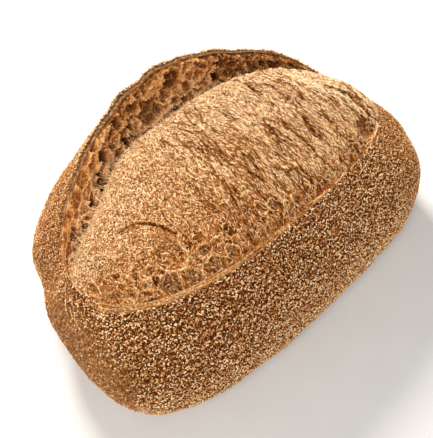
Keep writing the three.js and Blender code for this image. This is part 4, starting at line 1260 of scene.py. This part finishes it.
# Painted shade: grains lying in tears and beside cracks are darkened by TEAR_SHADE.
tear_shade_mask = np.maximum(parting, 0.55 * crack_side)
at, facing, lie, unruly, lit, dusty, streaky, combed, in_tear_shade, lit_edge_here = strewn(
    draw, FIBRES, bloom, fibre_weight,
    [bloom_facing, drawn, loose, painted_light_and_shade, flour_and_painted_light, streak, rightward, tear_shade_mask, lit_edge])
x = at[:, 0]
tried = draw.random(FIBRES) < LONG_TRIES * LONG_FIBRES / FIBRES
long_ones = (tried & (combed[:, 0] > 0.4) & (x < 70))[:, None]
lie = lie + draw.normal(size=lie.shape) * np.where(long_ones, 0.12, unruly)
longer = np.where(long_ones, draw.uniform(1.6, 3.2, long_ones.shape), 1.0)
fibre_half = (FIBRE_HALF[0] * mix(0.85, 1.8, combed) * longer, FIBRE_HALF[1] * mix(1.0, 0.85, combed),
              FIBRE_HALF[2] * np.where(long_ones, 1.5, 1.0))
body, faces = grains(draw, at, facing, fibre_half, FIBRE_TILT, FIBRE_PROUD, lie)
# Fibre tone: own random and streaky tone, with painted light from the relief and the lit far edge, and
# painted shade in tears.
tone = draw.normal(*FIBRE_TONE, FIBRES) + 0.12 * lit[:, 0] + 0.60 * streaky[:, 0] + 0.30 * eased(x, 66, 84)
tone = tone - 0.03 * (1 - combed[:, 0]) + 0.20 * lit_edge_here[:, 0]
tone = tone + 0.12 * eased(x, 15, 55) - 0.02 * eased(x, 66, 80)
tone = tone - TEAR_SHADE * eased(in_tear_shade[:, 0], 0.12, 0.36) + 0.02
tone = np.where(long_ones[:, 0], draw.normal(*LONG_TONE, FIBRES), tone)
lay("crumb_fibres", body, faces, {"tone": np.clip(tone, 0, 1), "dusty": dusty[:, 0]},
    toned_finish("dry_fibre", 0.8, FIBRE_STOPS, DUSTY_AND_LIT_STOPS))

draw = np.random.default_rng(CHIP_SEED)
chip_weight = fibre_weight ** 2 * (0.45 + eased(bloom_q, 0.30, 0.75)) * mix(1.0, 0.75, rightward)
at, facing, lie, lit, dusty, unruly, in_tear_shade = strewn(
    draw, CHIPS, bloom, chip_weight, [bloom_facing, drawn, bloom_rise, flour_and_painted_light, loose, tear_shade_mask])
lie = lie + draw.normal(size=lie.shape) * unruly
body, faces = grains(draw, at, facing, CHIP_HALF, CHIP_TILT, CHIP_PROUD, lie)
# Chip tone: own random tone, paler on raised relief as painted highlight and darker in tears as painted
# shade.
tone = draw.normal(*CHIP_TONE, CHIPS) + 0.10 * lit[:, 0] - 0.03 * eased(at[:, 0], 15, 60)
tone = np.clip(tone - TEAR_SHADE * eased(in_tear_shade[:, 0], 0.12, 0.36), 0, 1)
lay("crumb_chips", body, faces, {"tone": tone, "dusty": dusty[:, 0]},
    toned_finish("dry_chip", 0.8, FIBRE_STOPS, DUSTY_AND_LIT_STOPS))

draw = np.random.default_rng(FLAKE_SEED)
flake_weight = (eased(face_t, 0.03, 0.1) * (1 - eased(face_t, 0.92, 0.97))
                * (0.02 + torn_wall + 0.25 * small_wall + 0.7 * crown + 0.6 * brink) * (1 - 0.9 * pocket))
at, facing, lit, upper_shade_here = strewn(draw, FLAKES, face, flake_weight, [face_facing, face_rise, upper])
lie = facing * draw.uniform(0.2, 1.4, (FLAKES, 1)) + draw.normal(size=facing.shape) * 0.6
lie = lie + np.array([0, 0, 0.5])
body, faces = grains(draw, at, facing, FLAKE_HALF, FLAKE_TILT, FLAKE_PROUD, lie)
# Flake tone: own random tone, paler on raised relief as painted highlight and darker toward the top of the
# face as painted shade.
tone = np.clip(draw.normal(*FLAKE_TONE, FLAKES) + 0.06 * lit[:, 0] - 0.18 * upper_shade_here[:, 0], 0, 1)
lay("torn_flakes", body, faces, {"tone": tone}, toned_finish("torn_crumb", 0.8, FLAKE_STOPS))

# Bran coat. Wheat bran and cracked grain that the dough was rolled in, baked on: three sizes of flat,
# uneven grains lying every way up on the crust, thick on the flanks and thinner on the left end. A fringe
# of the largest stands along the rim of the ear.
BRAN = [
    # Name, count, half sizes, tilt, how proud, seed, (mean tone, its spread, share of pale ones), how much
    # thinner on the smooth end, how much thinner where the coat is fine.
    ("bran_flakes", 22300, (0.84, 0.40, 0.32), 0.75, 0.24, 61, (0.58, 0.28, 0.16), 0.85, 0.7),
    ("cracked_wheat", 23400, (0.68, 0.37, 0.33), 0.85, 0.13, 62, (0.50, 0.28, 0.10), 0.70, 0.2),
    ("fine_bran", 23400, (0.50, 0.32, 0.27), 0.85, 0.05, 63, (0.42, 0.25, 0.05), -0.6, -0.9),
]
FRINGE = 760
FRINGE_HALF = (0.95, 0.50, 0.36)
FRINGE_TILT = 1.2
FRINGE_PROUD = 0.25
FRINGE_TONE = (0.72, 0.34)
PALE_TONE = (0.95, 0.12)
BRAN_STOPS = [(0.15, (0.115, 0.023, 0.0015)), (0.52, (0.44, 0.153, 0.035)), (0.82, (0.78, 0.405, 0.152)),
              (1.0, (1.0, 0.74, 0.43))]
for name, count, half, tilt, proud, seed, (mean, spread, pale), thinner, calmer in BRAN:
    draw = np.random.default_rng(seed)
    cover = coat * (1 - thinner * smooth_end) * (1 - calmer * fine_coat)
    at, facing, bare, mild = strewn(draw, count, crust_points, cover, [crust_facing, smooth_end, fine_coat])
    body, faces = grains(draw, at, facing, half, tilt, proud)
    tone = np.clip(draw.normal(mean, spread, count), 0, 1)
    tone = np.where(draw.random(count) < pale, draw.normal(*PALE_TONE, count), tone)
    tone = mix(tone, 0.60, np.maximum(0.5 * bare[:, 0], 0.58 * mild[:, 0]))
    if name == "bran_flakes":
        rim_line = crust_points[:, np.flatnonzero(crust_zone == "far")[:1]]
        rim_way = np.pad(unit(ear_pull(crust_s)), ((0, 0), (0, 0), (1, 0)))
        keen = eased(crust_opening[:, 0], 0.2, 0.4) * eased(crust_s[:, 0], -0.62, -0.3)
        run = np.cumsum(keen * np.linalg.norm(np.gradient(rim_line[:, 0], axis=0), axis=-1))
        i = np.interp(draw.random(FRINGE) * run[-1], run, np.arange(len(run)))
        at, facing = (on_grid(line.repeat(2, 1), i, np.zeros(FRINGE)) for line in (rim_line, rim_way))
        at = at + facing * draw.uniform(-0.7, 0.5, (FRINGE, 1)) + draw.normal(0, 0.25, at.shape)
        more, more_faces = grains(draw, at, facing, FRINGE_HALF, FRINGE_TILT, FRINGE_PROUD)
        faces = np.concatenate([faces, more_faces + len(body)])
        body = np.concatenate([body, more])
        tone = np.append(tone, draw.normal(*FRINGE_TONE, FRINGE))
    lay(name, body, faces, {"tone": tone}, toned_finish(name + "_dry", 0.7, BRAN_STOPS))

# Floor, light and camera. A plain pale floor, a strong soft lamp on the far side, a weak one on the near
# left, a little light all round, and the camera at the photo's angle.
from mathutils import Matrix, Vector
FLOOR_HALF = 3
FLOOR_Z = -0.0006
LAMPS = [
    ("key", (0.28, 0.92, 0.84), 0.35, 21.0, (1.0, 0.97, 0.92)),
    ("fill", (-0.55, -0.40, 0.9), 0.4, 8.0, (1.0, 0.98, 0.95)),
]
LAMP_AIM = Vector((0, 0, 0.05))
ROUND_LIGHT = (1.0, 0.98, 0.96, 1)
ROUND_STRENGTH = 0.25
CAMERA_TARGET = np.array([-11.98, -5.07, 40.0]) / 1000
CAMERA_DISTANCE = 0.421
CAMERA_AZIMUTH = math.radians(-44.65)
CAMERA_ELEVATION = math.radians(52.30)
CAMERA_ROLL = math.radians(-0.32)
CAMERA_LENS = 59.05
CAMERA_SENSOR = 36.0
scene = bpy.context.scene

floor_mesh = bpy.data.meshes.new("floor")
floor_corners = [(x * FLOOR_HALF, y * FLOOR_HALF, FLOOR_Z) for x, y in ((-1, -1), (1, -1), (1, 1), (-1, 1))]
floor_mesh.from_pydata(floor_corners, [], [(0, 1, 2, 3)])
floor = bpy.data.objects.new("floor", floor_mesh)
scene.collection.objects.link(floor)
pale_floor = Finish("pale_floor", 0.9)
mottle = pale_floor.speckle(30.0, 2.0)
pale_floor.colour(pale_floor.ramp(mottle, [(0.3, (0.80, 0.79, 0.77)), (0.7, (0.83, 0.82, 0.80))]))
pale_floor.bump(mottle, 0.02, 0.001)
floor_mesh.materials.append(pale_floor.material)

for name, place, size, power, colour in LAMPS:
    light = bpy.data.lights.new(name, "AREA")
    light.size = size
    light.energy = power
    light.color = colour
    lamp = bpy.data.objects.new(name, light)
    scene.collection.objects.link(lamp)
    lamp.location = place
    lamp.rotation_euler = (LAMP_AIM - Vector(place)).to_track_quat("-Z", "Y").to_euler()
world = bpy.data.worlds.new("studio")
scene.world = world
world.use_nodes = True
world.node_tree.nodes["Background"].inputs["Color"].default_value = ROUND_LIGHT
world.node_tree.nodes["Background"].inputs["Strength"].default_value = ROUND_STRENGTH
scene.view_settings.view_transform = "Standard"

ca, sa = math.cos(CAMERA_AZIMUTH), math.sin(CAMERA_AZIMUTH)
ce, se = math.cos(CAMERA_ELEVATION), math.sin(CAMERA_ELEVATION)
back = np.array([sa * ce, -ca * ce, se])
right = np.array([ca, sa, 0])
upward = np.cross(back, right)
turned_right = right * math.cos(CAMERA_ROLL) + upward * math.sin(CAMERA_ROLL)
turned_up = upward * math.cos(CAMERA_ROLL) - right * math.sin(CAMERA_ROLL)
camera_data = bpy.data.cameras.new("camera")
camera_data.lens = CAMERA_LENS
camera_data.sensor_width = CAMERA_SENSOR
camera_data.sensor_fit = "HORIZONTAL"
camera = bpy.data.objects.new("camera", camera_data)
scene.collection.objects.link(camera)
eye = CAMERA_TARGET + back * CAMERA_DISTANCE
grid = np.eye(4)
grid[:3] = np.stack([turned_right, turned_up, back, eye], -1)
camera.matrix_world = Matrix(grid.tolist())
scene.camera = camera
